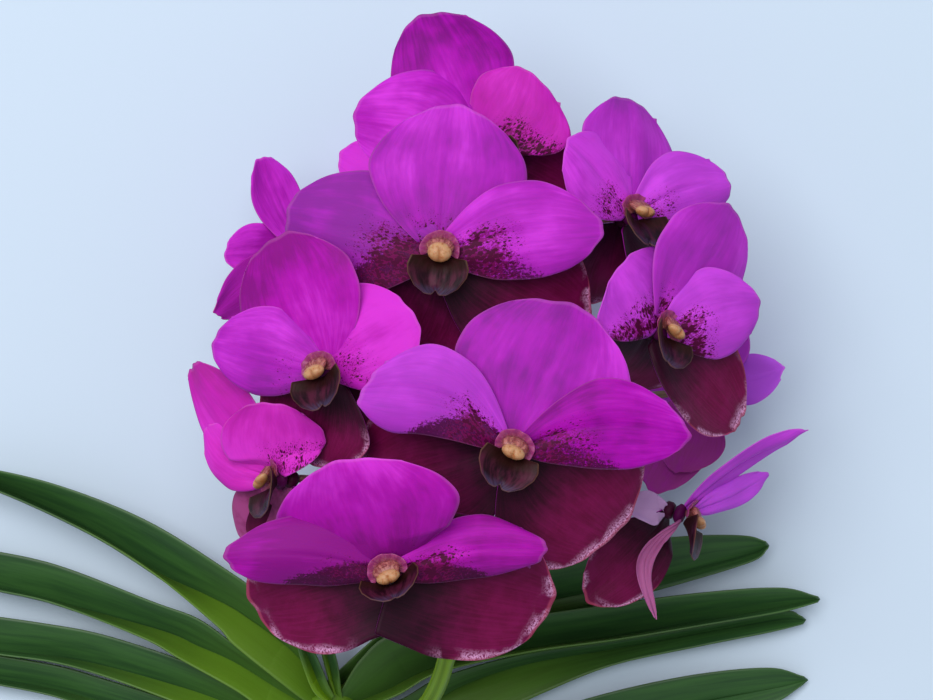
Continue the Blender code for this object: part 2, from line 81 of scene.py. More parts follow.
# The petals
# Each bloom has a dorsal sepal at the top and two broad petals, all magenta and velvety, with fine
# veins that fan out from a narrow claw and dark spots on the lower half. Their claws meet in a hub.
PETAL_THICKNESS = 0.8
MARGIN_THICKNESS = 0.3
HUB_RADIUS = 3.2
HUB_LOW, HUB_HIGH = -1.5, 1.4
PETAL_ROWS, PETAL_COLUMNS = 44, 32
WELD = 1e-7
LAYER = {"dorsal": -0.6, "petal_left": 0.6, "petal_right": 0.6, "sepal_left": -3.7, "sepal_right": -3.1}
CUP = {"dorsal": -0.1, "petal_left": -0.15, "petal_right": -0.15, "sepal_left": 0.1, "sepal_right": 0.1}


def tepal(px, py, ahead, width, **shape):
    """A petal or sepal: where its tip is seen, its height over the hub and its width. Its tones are
    how much brighter it is at its claw, at its tip and on its lower half, partly its own colour and
    partly painted light and shade; its tint how pink or, below zero, how lilac it is, and its figure
    how spotted it is and how dark its lower corner."""
    return dict(tip=(px, py, ahead), width=width, **shape)


def bloom(hub, faces, stalk, lip_drop=45, tint=0.0, cap=2.1, **tepals):
    """A bloom: where its hub is seen and its height, the way it faces, its place on the spike, how
    far its lip hangs down in degrees, how pink it is, and half the height of its cap."""
    return dict(hub=hub, faces=faces, stalk=stalk, lip_drop=lip_drop, tint=tint, cap=cap, tepals=tepals)


BLOOMS = {
    "top": bloom(
        (484, 148, 94), (0, 10), 0.99, tint=0.15,
        dorsal=tepal(425, 13, -10, 38, tones=(0.15, -0.4, 0.1), tint=0.0, figure=(0.15, 0.0)),
        petal_left=tepal(354, 115, -2, 35, bow=2, tones=(-0.05, 0.2, 0.0), tint=-0.05),
        petal_right=tepal(532, 74, 0, 34, bow=-4, tones=(0.25, -0.15, 0.15), tint=0.35, figure=(1.0, 0.0)),
        sepal_left=tepal(440, 228, -8, 36),
        sepal_right=tepal(575, 190, -12, 34)),
    "upper_front": bloom(
        (440, 250, 112), (0, -2), 0.78, lip_drop=60, cap=3.0,
        dorsal=tepal(456, 106, -3, 47, tones=(-0.2, 0.1, -0.1), tint=-0.15, figure=(0.6, 0.1)),
        petal_left=tepal(285, 216, -17, 37, tones=(-0.5, -0.45, 0.2), tint=-0.2, figure=(1.0, 1.0)),
        petal_right=tepal(602, 228, 0, 30, bow=2.5, tones=(0.25, 0.1, -0.3), tint=-0.15, figure=(1.0, 0.6)),
        sepal_left=tepal(388, 358, -22, 44, claw=0.25),
        sepal_right=tepal(586, 326, -14, 42)),
    "upper_left": bloom(
        (325, 370, 106), (-28, 0), 0.60, tint=0.2,
        dorsal=tepal(274, 236, -3, 43, tones=(0.2, -0.4, -0.1), tint=0.1, figure=(0.1, 0.0)),
        petal_left=tepal(214, 341, -9, 27, bow=1, tones=(0.0, 0.2, -0.6), tint=-0.15, figure=(0.3, 0.0)),
        petal_right=tepal(415, 313, 8, 35, bow=1, tones=(0.15, 0.6, -0.1), tint=0.2, figure=(0.45, 0.0)),
        sepal_left=tepal(303, 463, -11, 40),
        sepal_right=tepal(390, 462, -14, 40)),
    "upper_right": bloom(
        (630, 215, 92), (40, 12), 0.90, tint=-0.2, cap=1.7,
        dorsal=tepal(629, 98, -8, 39, tones=(0.4, -0.25, 0.0), tint=-0.25, figure=(0.2, 0.0)),
        petal_left=tepal(566, 142, 12, 28, tones=(0.6, 0.35, -0.2), tint=-0.25, figure=(0.6, 0.1)),
        petal_right=tepal(728, 181, -10, 24, bow=2, tones=(0.3, 0.25, -0.5), tint=-0.45, figure=(0.5, 0.1)),
        sepal_left=tepal(603, 300, -10, 38, claw=0.5),
        sepal_right=tepal(690, 290, -20, 32)),
    "middle_right": bloom(
        (660, 330, 98), (45, 0), 0.66, tint=-0.2, cap=1.7,
        dorsal=tepal(736, 210, -9, 40, claw=0.16, tones=(0.15, -0.15, 0.3), tint=-0.25, figure=(1.0, 0.0)),
        petal_left=tepal(621, 262, 9, 40, tones=(0.3, 0.4, 0.0), tint=-0.35, figure=(1.0, 0.1)),
        petal_right=tepal(758, 305, -9, 28, bow=1, tones=(0.2, 0.15, -0.2), tint=-0.45, figure=(1.0, 0.1)),
        sepal_left=tepal(609, 391, -12, 45, claw=0.6),
        sepal_right=tepal(747, 425, -19, 33, tip_width=0.35)),
    "middle_front": bloom(
        (513, 447, 119), (2, -6), 0.48,
        dorsal=tepal(573, 305, -1, 55, tones=(-0.2, -0.3, 0.7), tint=-0.15, figure=(0.1, 0.0)),
        petal_left=tepal(361, 390, 4, 28, bow=7.5, claw=0.16, widest=0.72,
                         tones=(0.1, 0.15, -0.4), tint=-0.4, figure=(0.9, 0.95)),
        petal_right=tepal(688, 432, 0, 27, bow=4.5, claw=0.16, widest=0.6,
                          tones=(-0.55, -0.05, 0.0), tint=0.0, figure=(0.8, 0.6)),
        sepal_left=tepal(362, 484, -22, 50, claw=0.3, widest=0.5),
        sepal_right=tepal(620, 533, -18, 54, claw=0.25, widest=0.5)),
    "lower_left": bloom(
        (280, 479, 96), (-58, 0), 0.42, tint=0.6, cap=1.4,
        dorsal=tepal(190, 365, -14, 22, look=(-40, 0), tip_width=0.4, tones=(0.3, -0.5, 0.5), tint=0.4),
        petal_left=tepal(207, 428, -12, 17, look=(-40, 10), bow=-3,
                         tones=(0.0, 0.7, 0.0), tint=0.45, figure=(0.1, 0.0)),
        petal_right=tepal(272, 402, 6, 33, claw=0.3, widest=0.42, look=(-10, 10),
                          tones=(0.4, 0.0, 0.0), tint=0.4, figure=(0.6, 0.0)),
        sepal_left=tepal(242, 556, -14, 26, look=(-30, 0), tint=1.9),
        sepal_right=tepal(312, 548, -14, 36, look=(-15, 0))),
    "lower_front": bloom(
        (388, 570, 124), (0, -8), 0.30, lip_drop=0,
        dorsal=tepal(342, 461, 17, 57, roll=-20, tones=(-0.9, 0.25, 0.0), tint=0.1, figure=(0.3, 0.0)),
        petal_left=tepal(224, 556, 3, 21, bow=3, cup=-0.5,
                         tones=(-0.8, -0.6, 0.2), tint=0.1, figure=(0.5, 1.0)),
        petal_right=tepal(547, 549, 3, 19, bow=3, cup=-0.5,
                          tones=(0.1, -0.5, -0.3), tint=0.1, figure=(1.0, 1.0)),
        sepal_left=tepal(250, 607, -16, 40, claw=0.9, widest=0.5),
        sepal_right=tepal(552, 608, -16, 44, claw=0.9, widest=0.5)),
    "lower_right": bloom(
        (680, 514, 70), (72, -18), 0.44, tint=-0.2, cap=1.6,
        dorsal=tepal(807, 430, -6, 13, claw=0.16, look=(60, -30), curl=20,
                     tones=(0.1, 0.1, 0.0), tint=-0.5),
        petal_left=tepal(654, 619, 14, 5, claw=0.16, look=(0, 0), bow=9, tones=(0.2, 0.1, 0.0), tint=2.0),
        petal_right=tepal(766, 474, -20, 10, claw=0.16, look=(10, -20),
                          tones=(0.3, 0.4, 0.0), tint=-0.7, figure=(0.2, 0.0)),
        sepal_left=tepal(597, 603, 0, 25, look=(25, 0)),
        sepal_right=tepal(636, 508, 8, 11, look=(0, 20), tint=-0.95)),
    "back_left": bloom(
        (300, 250, 34), (-145, 0), 0.72, lip_drop=66, tint=0.2,
        dorsal=tepal(259, 157, 8, 18, tones=(0.45, 0.45, 0.0), tint=0.0),
        petal_left=tepal(365, 245, -29, 28),
        petal_right=tepal(226, 254, 12, 19, tones=(0.2, 0.2, 0.0), tint=0.0),
        sepal_left=tepal(332, 345, -10, 28),
        sepal_right=tepal(211, 314, 22, 17, tip_width=0.4)),
    "back_right": bloom(
        (704, 392, 34), (145, 0), 0.58, lip_drop=70, tint=-0.4,
        dorsal=tepal(716, 300, 3, 30),
        petal_left=tepal(782, 369, 18, 16, tip_width=0.4, tones=(2.2, 2.2, 0.0), tint=-1.0),
        petal_right=tepal(648, 392, -25, 28),
        sepal_left=tepal(683, 472, 0, 26, tip_width=0.4, tint=1.6),
        sepal_right=tepal(654, 490, -6, 24, tint=1.6)),
    "back_upper": bloom(
        (440, 200, 22), (180, 0), 0.86, lip_drop=52, tint=0.2,
        dorsal=tepal(500, 100, -22, 34),
        petal_left=tepal(545, 240, -20, 30),
        petal_right=tepal(340, 155, -12, 27, tones=(0.4, 0.5, 0.0), tint=0.1),
        sepal_left=tepal(490, 320, -3, 36),
        sepal_right=tepal(368, 290, -4, 32)),
}


def unit(v):
    """Vectors of the same direction, one long."""
    v = np.asarray(v, float)
    return v / np.linalg.norm(v, axis=-1, keepdims=True)


def eased(x):
    """0 up to 0 and 1 from 1, with a smooth rise between: 3 x squared less 2 x cubed."""
    x = np.clip(x, 0, 1)
    return x * x * (3 - 2 * x)


def facing(turn_right, turn_up):
    """The direction turned to the right and up, in degrees, from straight out of the front."""
    right, up = math.radians(turn_right), math.radians(turn_up)
    return np.array([math.sin(right) * math.cos(up), math.sin(up), math.cos(right) * math.cos(up)])


def tepal_sheet(hub, axis, tip, width, layer, cup, curl=-20, roll=0, look=None, bow=0,
                claw=0.3, widest=0.55, tip_width=0.62, start=1.6):
    """The middle sheet of a petal. Its half width eases from a claw to the widest place and falls to
    a round end. Along its length it is an arc that turns by curl, and its middle swings aside by
    bow. Across, it cups by the square of the distance from its midrib."""
    ahead = unit(tip)
    chord = np.linalg.norm(tip) - start
    out = unit(axis - np.dot(axis, ahead) * ahead)
    side = np.cross(out, ahead)
    if look is not None:
        wanted = facing(*look)
        roll = math.degrees(math.atan2(-np.dot(wanted, side), np.dot(wanted, out)))
    s = np.linspace(0, 1, PETAL_ROWS + 1)[:, None]
    t = np.linspace(-1, 1, PETAL_COLUMNS + 1)[None, :]
    rise = 1 - np.clip(1 - s / widest, 0, 1)**2
    fall = np.clip((s - widest) / (1 - widest), 0, 1)**2
    half_width = (claw + (1 - claw) * rise - (1 - tip_width) * fall) * width / 2
    tip_slope = 2 * (1 - tip_width) / (1 - widest)
    x = s - tip_width / (2 * (tip_width + tip_slope)) * s**2 * t**2
    bend = math.radians(curl)
    length = chord * (bend / 2) / math.sin(bend / 2)
    slope = bend * (x - 0.5)
    reach = (np.sin(slope) + math.sin(bend / 2)) / bend * length
    arch = (math.cos(bend / 2) - np.cos(slope)) / bend * length
    turn = np.radians(roll) * np.clip(s * 4, 0, 1) + 0 * t
    upright = -np.sin(slope)[..., None] * ahead + np.cos(slope)[..., None] * out
    lateral = np.cos(turn)[..., None] * side + np.sin(turn)[..., None] * upright
    normal = -np.sin(turn)[..., None] * side + np.cos(turn)[..., None] * upright
    across_mm = t * half_width
    swing = math.copysign(bow, bow * side[1]) * np.sin(math.pi * np.clip(x, 0, 1))
    lift = cup * across_mm**2 / (width / 2)
    sheet = (hub + axis * layer + ahead * (start + reach)[..., None] + out * arch[..., None]
             + lateral * (across_mm + swing)[..., None] + normal * lift[..., None])
    return sheet, s + 0 * t, t + 0 * s, across_mm, x * length, -np.sign(side[1])


def waves(s, t, seed):
    """Three slow ripples over a petal, of about a millimetre in all, each a sine that runs aslant."""
    first = np.sin(2 * math.pi * (0.9 * s + 0.35 * t) + seed)
    second = np.sin(2 * math.pi * (1.6 * s - 0.5 * t) + 2.3 * seed)
    third = np.sin(2 * math.pi * (0.5 * s + 0.9 * t) + 3.1 * seed)
    return 0.4 * first + 0.25 * second + 0.3 * third


def rim_nearness(s, t):
    """1 on a petal's margin and 0 from a fifth of its width inwards."""
    return eased(np.maximum((np.abs(t) - 0.78) / 0.22, (s - 0.86) / 0.14))


def grid_quads(rows, columns, wrapped=False):
    """The corners of each cell of a grid, turned so that a face looks along rows x columns."""
    across = columns if wrapped else columns - 1
    row, column = np.meshgrid(np.arange(rows - 1) * columns, np.arange(across), indexing="ij")
    after = (column + 1) % columns
    cells = [row + column, row + columns + column, row + columns + after, row + after]
    return np.stack(cells, axis=-1).reshape(-1, 4)


def skin(sheet, thickness, margin):
    """A closed thin body: the sheet moved half its thickness to both sides along its normals, and
    the two faces joined round the rim. It thins to the margin's thickness over its outer fifth."""
    rows, columns = sheet.shape[:2]
    normals = unit(np.cross(np.gradient(sheet, axis=0), np.gradient(sheet, axis=1)))
    s = np.linspace(0, 1, rows)[:, None]
    t = np.linspace(-1, 1, columns)[None, :]
    half = (thickness + (margin - thickness) * rim_nearness(s, t)) / 2
    count = rows * columns
    points = np.concatenate([(sheet + normals * half[..., None]).reshape(-1, 3),
                             (sheet - normals * half[..., None]).reshape(-1, 3)])
    number = np.arange(count).reshape(rows, columns)
    loop = np.concatenate([number[:-1, 0], number[-1, :-1], number[:0:-1, -1], number[0, :0:-1]])
    following = np.roll(loop, -1)
    front = grid_quads(rows, columns)
    back = front[:, ::-1] + count
    rim = np.stack([loop, loop + count, following + count, following], axis=1)
    return points, np.concatenate([front, back, rim])


def turned(centre, axis, profile, around=24):
    """A turned body: each (height, radius) of the profile makes a ring round the axis."""
    x = unit(np.cross(axis, (0.31, 0.95, 0.1)))
    y = np.cross(axis, x)
    angle = np.linspace(0, 2 * math.pi, around, endpoint=False)
    height, radius = np.array(profile, float).T
    ring = x * np.cos(angle)[:, None] + y * np.sin(angle)[:, None]
    points = centre + axis * height[:, None, None] + ring[None] * radius[:, None, None]
    return points.reshape(-1, 3), grid_quads(len(height), around, wrapped=True)[:, ::-1]


def traits(count, across=0.5, along=0.0, across_mm=0.0, along_mm=0.0, seed=0.0,
           spots=0.0, throat=0.0, rim=0.0, front=1.0, tint=0.0, tone=0.0):
    """What the finishes read at each point: its place on the piece and its markings."""
    values = (across, along, across_mm, along_mm, seed, spots, throat, rim, front, tint, tone)
    return np.stack([np.broadcast_to(np.ravel(value), count) if np.size(value) == 1
                     else np.tile(np.ravel(value), count // np.size(value)) for value in values], axis=1)


def make_piece(name, shells, material):
    """One mesh of several closed shells, each given as points, faces and traits. The doubled points
    of its poles are merged, and its shells are turned outwards."""
    starts = np.cumsum([0] + [len(shell[0]) for shell in shells[:-1]])
    points = np.concatenate([shell[0] for shell in shells]) * MM
    faces = np.concatenate([shell[1] + start for shell, start in zip(shells, starts)])
    marks = np.concatenate([shell[2] for shell in shells])
    mesh = bpy.data.meshes.new(name)
    mesh.from_pydata(points, [], faces)
    layer = mesh.uv_layers.new(name="UVMap")
    corner_points = np.zeros(len(mesh.loops), np.int32)
    mesh.loops.foreach_get("vertex_index", corner_points)
    layer.data.foreach_set("uv", marks[corner_points, 0:2].astype(np.float32).ravel())
    for attribute, columns in (("place", (2, 3, 4)), ("marks", (5, 6, 7)), ("turned_to", (8, 9, 10))):
        made = mesh.attributes.new(attribute, "FLOAT_VECTOR", "POINT")
        made.data.foreach_set("vector", marks[:, columns].astype(np.float32).ravel())
    shaped = bmesh.new()
    shaped.from_mesh(mesh)
    bmesh.ops.remove_doubles(shaped, verts=shaped.verts, dist=WELD)
    bmesh.ops.recalc_face_normals(shaped, faces=shaped.faces)
    shaped.to_mesh(mesh)
    shaped.free()
    mesh.shade_smooth()
    mesh.materials.append(material)
    obj = bpy.data.objects.new(name, mesh)
    bpy.context.scene.collection.objects.link(obj)
    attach(obj, "root")
    return obj


def add_node(tree, kind, inputs, **settings):
    """A shader node with its settings, and its inputs as values or as other nodes' outputs."""
    made = tree.nodes.new("ShaderNode" + kind)
    for name, value in settings.items():
        setattr(made, name, value)
    for name, value in inputs.items():
        if isinstance(value, bpy.types.NodeSocket):
            tree.links.new(value, made.inputs[name])
        else:
            made.inputs[name].default_value = value
    return made


def mixed(tree, share, first, second, how="MIX"):
    """The second colour laid over the first by a share."""
    made = tree.nodes.new("ShaderNodeMix")
    made.data_type = "RGBA"
    made.blend_type = how
    for number, value in ((0, share), (6, first), (7, second)):
        if isinstance(value, bpy.types.NodeSocket):
            tree.links.new(value, made.inputs[number])
        else:
            made.inputs[number].default_value = value if number == 0 else (*value, 1.0)
    return made.outputs[2]


def figured(tree, operation, *values):
    """One sum of values or outputs, by the name of its operation."""
    made = tree.nodes.new("ShaderNodeMath")
    made.operation = operation
    for number, value in enumerate(values):
        if isinstance(value, bpy.types.NodeSocket):
            tree.links.new(value, made.inputs[number])
        else:
            made.inputs[number].default_value = value
    return made.outputs[0]


def between(tree, value, low, high):
    """How far a value has risen from low to high, eased, from 0 to 1."""
    return add_node(tree, "MapRange", {"Value": value, "From Min": low, "From Max": high},
                    interpolation_type="SMOOTHSTEP").outputs["Result"]


def new_group(name, inputs, outputs):
    """An empty shader node group with number or vector sockets."""
    group = bpy.data.node_groups.new(name, "ShaderNodeTree")
    for socket, kind in inputs:
        group.interface.new_socket(socket, in_out="INPUT", socket_type="NodeSocket" + kind)
    for socket, kind in outputs:
        group.interface.new_socket(socket, in_out="OUTPUT", socket_type="NodeSocket" + kind)
    return group, group.nodes.new("NodeGroupInput"), group.nodes.new("NodeGroupOutput")


def noise(tree, place, scale, detail, roughness=0.5):
    """Even noise from 0 to 1 over a place."""
    return add_node(tree, "TexNoise", {"Vector": place, "Scale": scale, "Detail": detail,
                                       "Roughness": roughness}).outputs["Fac"]


def times(tree, *values):
    """The product of two values or outputs."""
    return figured(tree, "MULTIPLY", *values)


def vein_group():
    """Veins that fan out from a petal's claw: noise drawn out along the petal, in a broad and a fine
    size, from its place across and along and its seed."""
    group, given, made = new_group(
        "fanned_veins", [("Across", "Float"), ("Along", "Float"), ("Seed", "Float"), ("Count", "Float")],
        [("Broad", "Float"), ("Fine", "Float")])
    across = figured(group, "MULTIPLY", given.outputs["Across"], given.outputs["Count"])
    for output, finer, detail in (("Broad", 1.0, 3.0), ("Fine", 3.6, 5.0)):
        place = add_node(group, "CombineXYZ", {
            "X": figured(group, "MULTIPLY", across, finer),
            "Y": figured(group, "MULTIPLY", given.outputs["Along"], 1.7 * finer**0.5),
            "Z": given.outputs["Seed"]})
        noise = add_node(group, "TexNoise", {"Vector": place.outputs[0], "Scale": 1.0, "Detail": detail,
                                             "Roughness": 0.6, "Distortion": 0.15})
        group.links.new(noise.outputs["Fac"], made.inputs[output])
    return group


def spot_group():
    """Dark spots drawn out along the petal: cells of uneven size, filled where they are nearer to
    their middle than the wanted density, with ragged rims."""
    group, given, made = new_group(
        "petal_spots", [("Place", "Vector"), ("Density", "Float"), ("Size", "Float")], [("Spots", "Float")])
    ragged = add_node(group, "TexNoise", {"Vector": given.outputs["Place"], "Scale": 1.3, "Detail": 3.0})
    shift = add_node(group, "VectorMath", {0: ragged.outputs["Color"], 1: (1.1, 1.1, 0.0)},
                     operation="MULTIPLY")
    place = add_node(group, "VectorMath", {0: given.outputs["Place"], 1: shift.outputs[0]}, operation="ADD")
    size = add_node(group, "CombineXYZ", {"X": given.outputs["Size"], "Z": 1.0,
                                          "Y": figured(group, "MULTIPLY", given.outputs["Size"], 0.5)})
    drawn = add_node(group, "VectorMath", {0: place.outputs[0], 1: size.outputs[0]}, operation="MULTIPLY")
    cells = add_node(group, "TexVoronoi", {"Vector": drawn.outputs[0], "Scale": 1.0},
                     voronoi_dimensions="3D")
    clumps = noise(group, given.outputs["Place"], 0.28, 2.0)
    wanted = figured(group, "MULTIPLY", given.outputs["Density"],
                     figured(group, "MULTIPLY_ADD", clumps, 1.6, -0.05))
    over = figured(group, "SUBTRACT", wanted, cells.outputs["Distance"])
    group.links.new(between(group, over, -0.03, 0.07), made.inputs["Spots"])
    return group


VEINS = vein_group()
SPOTS = spot_group()
PETAL_DEEP = (0.20, 0.0, 0.20)
PETAL_MID = (0.40, 0.001, 0.40)
PETAL_BRIGHT = (0.66, 0.03, 0.67)
PETAL_PINK = (0.70, 0.035, 0.42)
PETAL_ROSE = (0.36, 0.09, 0.24)
PETAL_LILAC = (0.50, 0.09, 0.75)
PETAL_BACK = (0.42, 0.01, 0.42)
PETAL_RIM_HIGHLIGHT = (0.80, 0.25, 0.62)
SPOT_COLOUR = (0.07, 0.0, 0.03)
SPECK_COLOUR = (0.17, 0.0, 0.07)
THROAT_COLOUR = (0.05, 0.0, 0.024)
THROAT_NET = (0.24, 0.01, 0.17)


def read_traits(tree):
    """The outputs that carry a piece's traits into its finish, by name."""
    uv_map = add_node(tree, "UVMap", {}, uv_map="UVMap")
    uv = add_node(tree, "SeparateXYZ", {"Vector": uv_map.outputs["UV"]})
    found = {"across": uv.outputs["X"], "along": uv.outputs["Y"]}
    for attribute, names in (("place", ("across_mm", "along_mm", "seed")),
                             ("marks", ("spots", "throat", "rim")),
                             ("turned_to", ("front", "tint", "tone"))):
        made = add_node(tree, "Attribute", {}, attribute_name=attribute)
        split = add_node(tree, "SeparateXYZ", {"Vector": made.outputs["Vector"]})
        found[attribute] = made.outputs["Vector"]
        found.update(zip(names, split.outputs))
    return found


def veins_of(tree, at, count):
    """The broad and the fine veins of a piece, count of them across it."""
    made = add_node(tree, "Group", {"Across": at["across"], "Along": at["along"], "Seed": at["seed"],
                                    "Count": count}, node_tree=VEINS)
    return made.outputs["Broad"], made.outputs["Fine"]


def spots_of(tree, at, density, size):
    """Dark spots on a piece, by a density and how many fit into a millimetre."""
    return add_node(tree, "Group", {"Place": at["place"], "Density": density, "Size": size},
                    node_tree=SPOTS).outputs["Spots"]


def new_finish(name, roughness, **shader_inputs):
    """A material, its node tree and its Principled shader with the constants set on its sockets."""
    material = bpy.data.materials.new(name)
    material.use_nodes = True
    shader = material.node_tree.nodes["Principled BSDF"]
    shader.inputs["Roughness"].default_value = roughness
    for socket, value in shader_inputs.items():
        shader.inputs[socket.replace("_", " ").title().replace("Ior", "IOR")].default_value = value
    return material, material.node_tree, shader


def add_relief(tree, shader, height, distance, strength=1.0):
    """Fine relief from a height that changes over the surface."""
    bump = add_node(tree, "Bump", {"Height": height, "Distance": distance * MM, "Strength": strength})
    tree.links.new(bump.outputs["Normal"], shader.inputs["Normal"])


def petal_finish():
    """Velvety magenta: slow clouds and faint veins from deep to bright, with painted light and shade
    from each piece's tone, lilac or pink on some petals, a dark throat with a ragged edge, dark dashes
    and fine specks, a thin pale rim of painted highlight, a paler back."""
    material, tree, shader = new_finish("petal_skin", 0.6, specular_ior_level=0.12, subsurface_weight=0.1,
                                        subsurface_scale=0.0012)
    at = read_traits(tree)
    broad_veins, fine_veins = veins_of(tree, at, 7.0)
    clouds = noise(tree, at["place"], 0.06, 3.0)
    broad = between(tree, broad_veins, 0.25, 0.75)
    fine = between(tree, fine_veins, 0.25, 0.8)
    light = figured(tree, "MULTIPLY_ADD", between(tree, clouds, 0.3, 0.7), 0.5,
                    figured(tree, "MULTIPLY_ADD", broad, 0.32,
                            figured(tree, "MULTIPLY_ADD", fine, 0.3, -0.1)))
    # The tone laid on here is partly painted light and shade: brighter where a petal faces the light,
    # darker where it lies in shade.
    light = figured(tree, "ADD", light, at["tone"])
    face = mixed(tree, between(tree, light, -0.2, 0.5), PETAL_DEEP, PETAL_MID)
    back = mixed(tree, times(tree, fine, 0.5), PETAL_BACK, PETAL_MID)
    colour = mixed(tree, at["front"], back, face)
    colour = mixed(tree, between(tree, light, 0.35, 1.1), colour, PETAL_BRIGHT)
    pinks = figured(tree, "MAXIMUM", at["tint"], 0.0)
    lilacs = times(tree, figured(tree, "MINIMUM", at["tint"], 0.0), -1.0)
    colour = mixed(tree, pinks, colour, PETAL_PINK)
    colour = mixed(tree, lilacs, colour, PETAL_LILAC)
    colour = mixed(tree, between(tree, at["tint"], 1.0, 2.0), colour, PETAL_ROSE)
    grain = noise(tree, at["place"], 1.0, 4.0, 0.7)
    ragged = figured(tree, "MULTIPLY_ADD", grain, 1.5, figured(tree, "SUBTRACT", at["throat"], 0.75))
    ragged = figured(tree, "MULTIPLY_ADD", fine_veins, 0.9, figured(tree, "SUBTRACT", ragged, 0.45))
    facing_us = times(tree, at["front"], between(tree, at["throat"], 0.0, 0.1))
    dark = times(tree, between(tree, ragged, 0.38, 0.6), facing_us)
    net = times(tree, between(tree, grain, 0.52, 0.68), 0.5)
    colour = mixed(tree, times(tree, dark, 0.93), colour, mixed(tree, net, THROAT_COLOUR, THROAT_NET))
    spotted = times(tree, at["spots"], at["front"])
    colour = mixed(tree, times(tree, spots_of(tree, at, spotted, 3.0), 0.75), colour, SPECK_COLOUR)
    colour = mixed(tree, spots_of(tree, at, times(tree, spotted, 0.8), 1.3), colour, SPOT_COLOUR)
    # A thin pale rim of painted highlight, where the petal margins catch the light.
    rim = times(tree, between(tree, at["rim"], 0.86, 1.0), 0.16)
    colour = mixed(tree, rim, colour, PETAL_RIM_HIGHLIGHT)
    tree.links.new(colour, shader.inputs["Base Color"])
    add_relief(tree, shader, fine_veins, 0.15, 0.5)
    return material


def uneven_rim(sheet, s, t, seed):
    """Moves a petal's margin in and out a little, each way by two sines along it, as a share of the
    petal's half width and length."""
    sideways = np.gradient(sheet, axis=1) * (sheet.shape[1] / 2)
    onwards = np.gradient(sheet, axis=0) * sheet.shape[0]
    turn = seed + 1.7 * np.sign(t)
    in_and_out = 0.018 * np.sin(8 * s + 2 * turn) + 0.006 * np.sin(19 * s + 5 * turn)
    tip = 0.014 * np.sin(4 * t + 3 * seed) + 0.006 * np.sin(11 * t + seed)
    return (sideways * (in_and_out * t * eased(s / 0.3) * eased((1.05 - s) / 0.2))[..., None]
            + onwards * (tip * eased((s - 0.6) / 0.4))[..., None])


def bloom_frame(spec):
    """A bloom's hub, the way it faces, and its own up: towards its dorsal sepal, square to its face."""
    hub = seen(*spec["hub"])
    axis = facing(*spec["faces"])
    px, py, ahead = spec["tepals"]["dorsal"]["tip"]
    tip = seen(px, py, spec["hub"][2] + ahead) - hub
    return hub, axis, unit(tip - np.dot(tip, axis) * axis)


def tepal_shell(spec, part, seed, relief, marks, thickness):
    """One petal or sepal as a closed shell. relief gives the height of its folds from its place, and
    marks its spots and throat."""
    shape = dict(spec["tepals"][part])
    at_claw, at_tip, at_lower = shape.pop("tones", (0.0, 0.0, 0.0))
    tint = shape.pop("tint", spec["tint"])
    dots, dark = shape.pop("figure", (0.0, 0.0))
    px, py, ahead = shape.pop("tip")
    hub, axis, up = bloom_frame(spec)
    tip = seen(px, py, spec["hub"][2] + ahead) - hub
    shape.setdefault("cup", CUP[part])
    sheet, s, t, across_mm, along_mm, lower = tepal_sheet(hub, axis, tip, layer=LAYER[part], **shape)
    # Tone along the petal, partly its own colour and partly painted light and shade.
    tone = at_claw + (at_tip - at_claw) * s + at_lower * np.clip(lower * t, 0, 1)
    sheet = sheet + uneven_rim(sheet, s, t, seed)
    normals = unit(np.cross(np.gradient(sheet, axis=0), np.gradient(sheet, axis=1)))
    towards_front = np.sign(np.sum(normals * axis, axis=-1).mean())
    sheet = sheet + normals * (towards_front * relief(s, t, seed))[..., None]
    points, faces = skin(sheet, thickness, MARGIN_THICKNESS)
    points[:, 2] = np.maximum(points[:, 2], 0.0)
    spots, throat = marks(s, lower * t, dots, dark)
    front_first = 1.0 if towards_front > 0 else 0.0
    front = np.repeat([front_first, 1 - front_first], s.size)
    return points, faces, traits(
        len(points), across=(t + 1) / 2, along=s, across_mm=across_mm, along_mm=along_mm, seed=seed * 10,
        spots=spots, throat=throat, rim=rim_nearness(s, t), front=front, tint=tint, tone=tone)


def petal_relief(s, t, seed):
    """A groove along the midrib and pleats beside it that fade to the tip, and slow waves that grow
    towards the rim."""
    groove = -0.6 * np.exp(-(t / 0.07)**2) * (1 - s)**0.7
    pleats = 0.3 * np.cos(9 * t + seed) * (1 - s)**1.5 * eased(s / 0.2)
    return groove + pleats + waves(s, t, seed) * (0.25 + 0.75 * np.maximum(s, np.abs(t)))


def petal_marks(s, low, dots, dark):
    """Spots from the claw to past the middle, thickest on the lower half; a dark lower corner."""
    spots = dots * eased((0.66 - s) / 0.45) * eased((low + 0.6) / 0.7) * eased(s / 0.05)
    throat = dark * eased((low + 0.7 - 1.9 * s) / 0.7) * eased((0.9 - s) / 0.3)
    return spots, throat


def dorsal_marks(s, low, dots, dark):
    """Fine spots over the claw only."""
    spots = dots * eased((0.36 - s) / 0.3) * eased((0.95 - np.abs(low)) / 0.5)
    return spots, dark * eased((0.16 - s) / 0.12)


PETAL_KNOB = [(HUB_LOW, 0), (HUB_LOW, 2.2), (-0.6, HUB_RADIUS), (0.5, HUB_RADIUS),
              (HUB_HIGH, 2.2), (HUB_HIGH + 0.3, 0)]
PETAL_SKIN = petal_finish()
for number, (name, spec) in enumerate(BLOOMS.items()):
    hub, axis, up = bloom_frame(spec)
    shells = []
    for place, part in enumerate(("dorsal", "petal_left", "petal_right")):
        marks = dorsal_marks if part == "dorsal" else petal_marks
        shells.append(tepal_shell(spec, part, number * 2.7 + place, petal_relief, marks, PETAL_THICKNESS))
    points, faces = turned(hub, axis, PETAL_KNOB)
    shells.append((points, faces, traits(len(points), throat=0.9)))
    petals = make_piece(name + "_petals_skin", shells, PETAL_SKIN)
    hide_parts(name + "_petals")

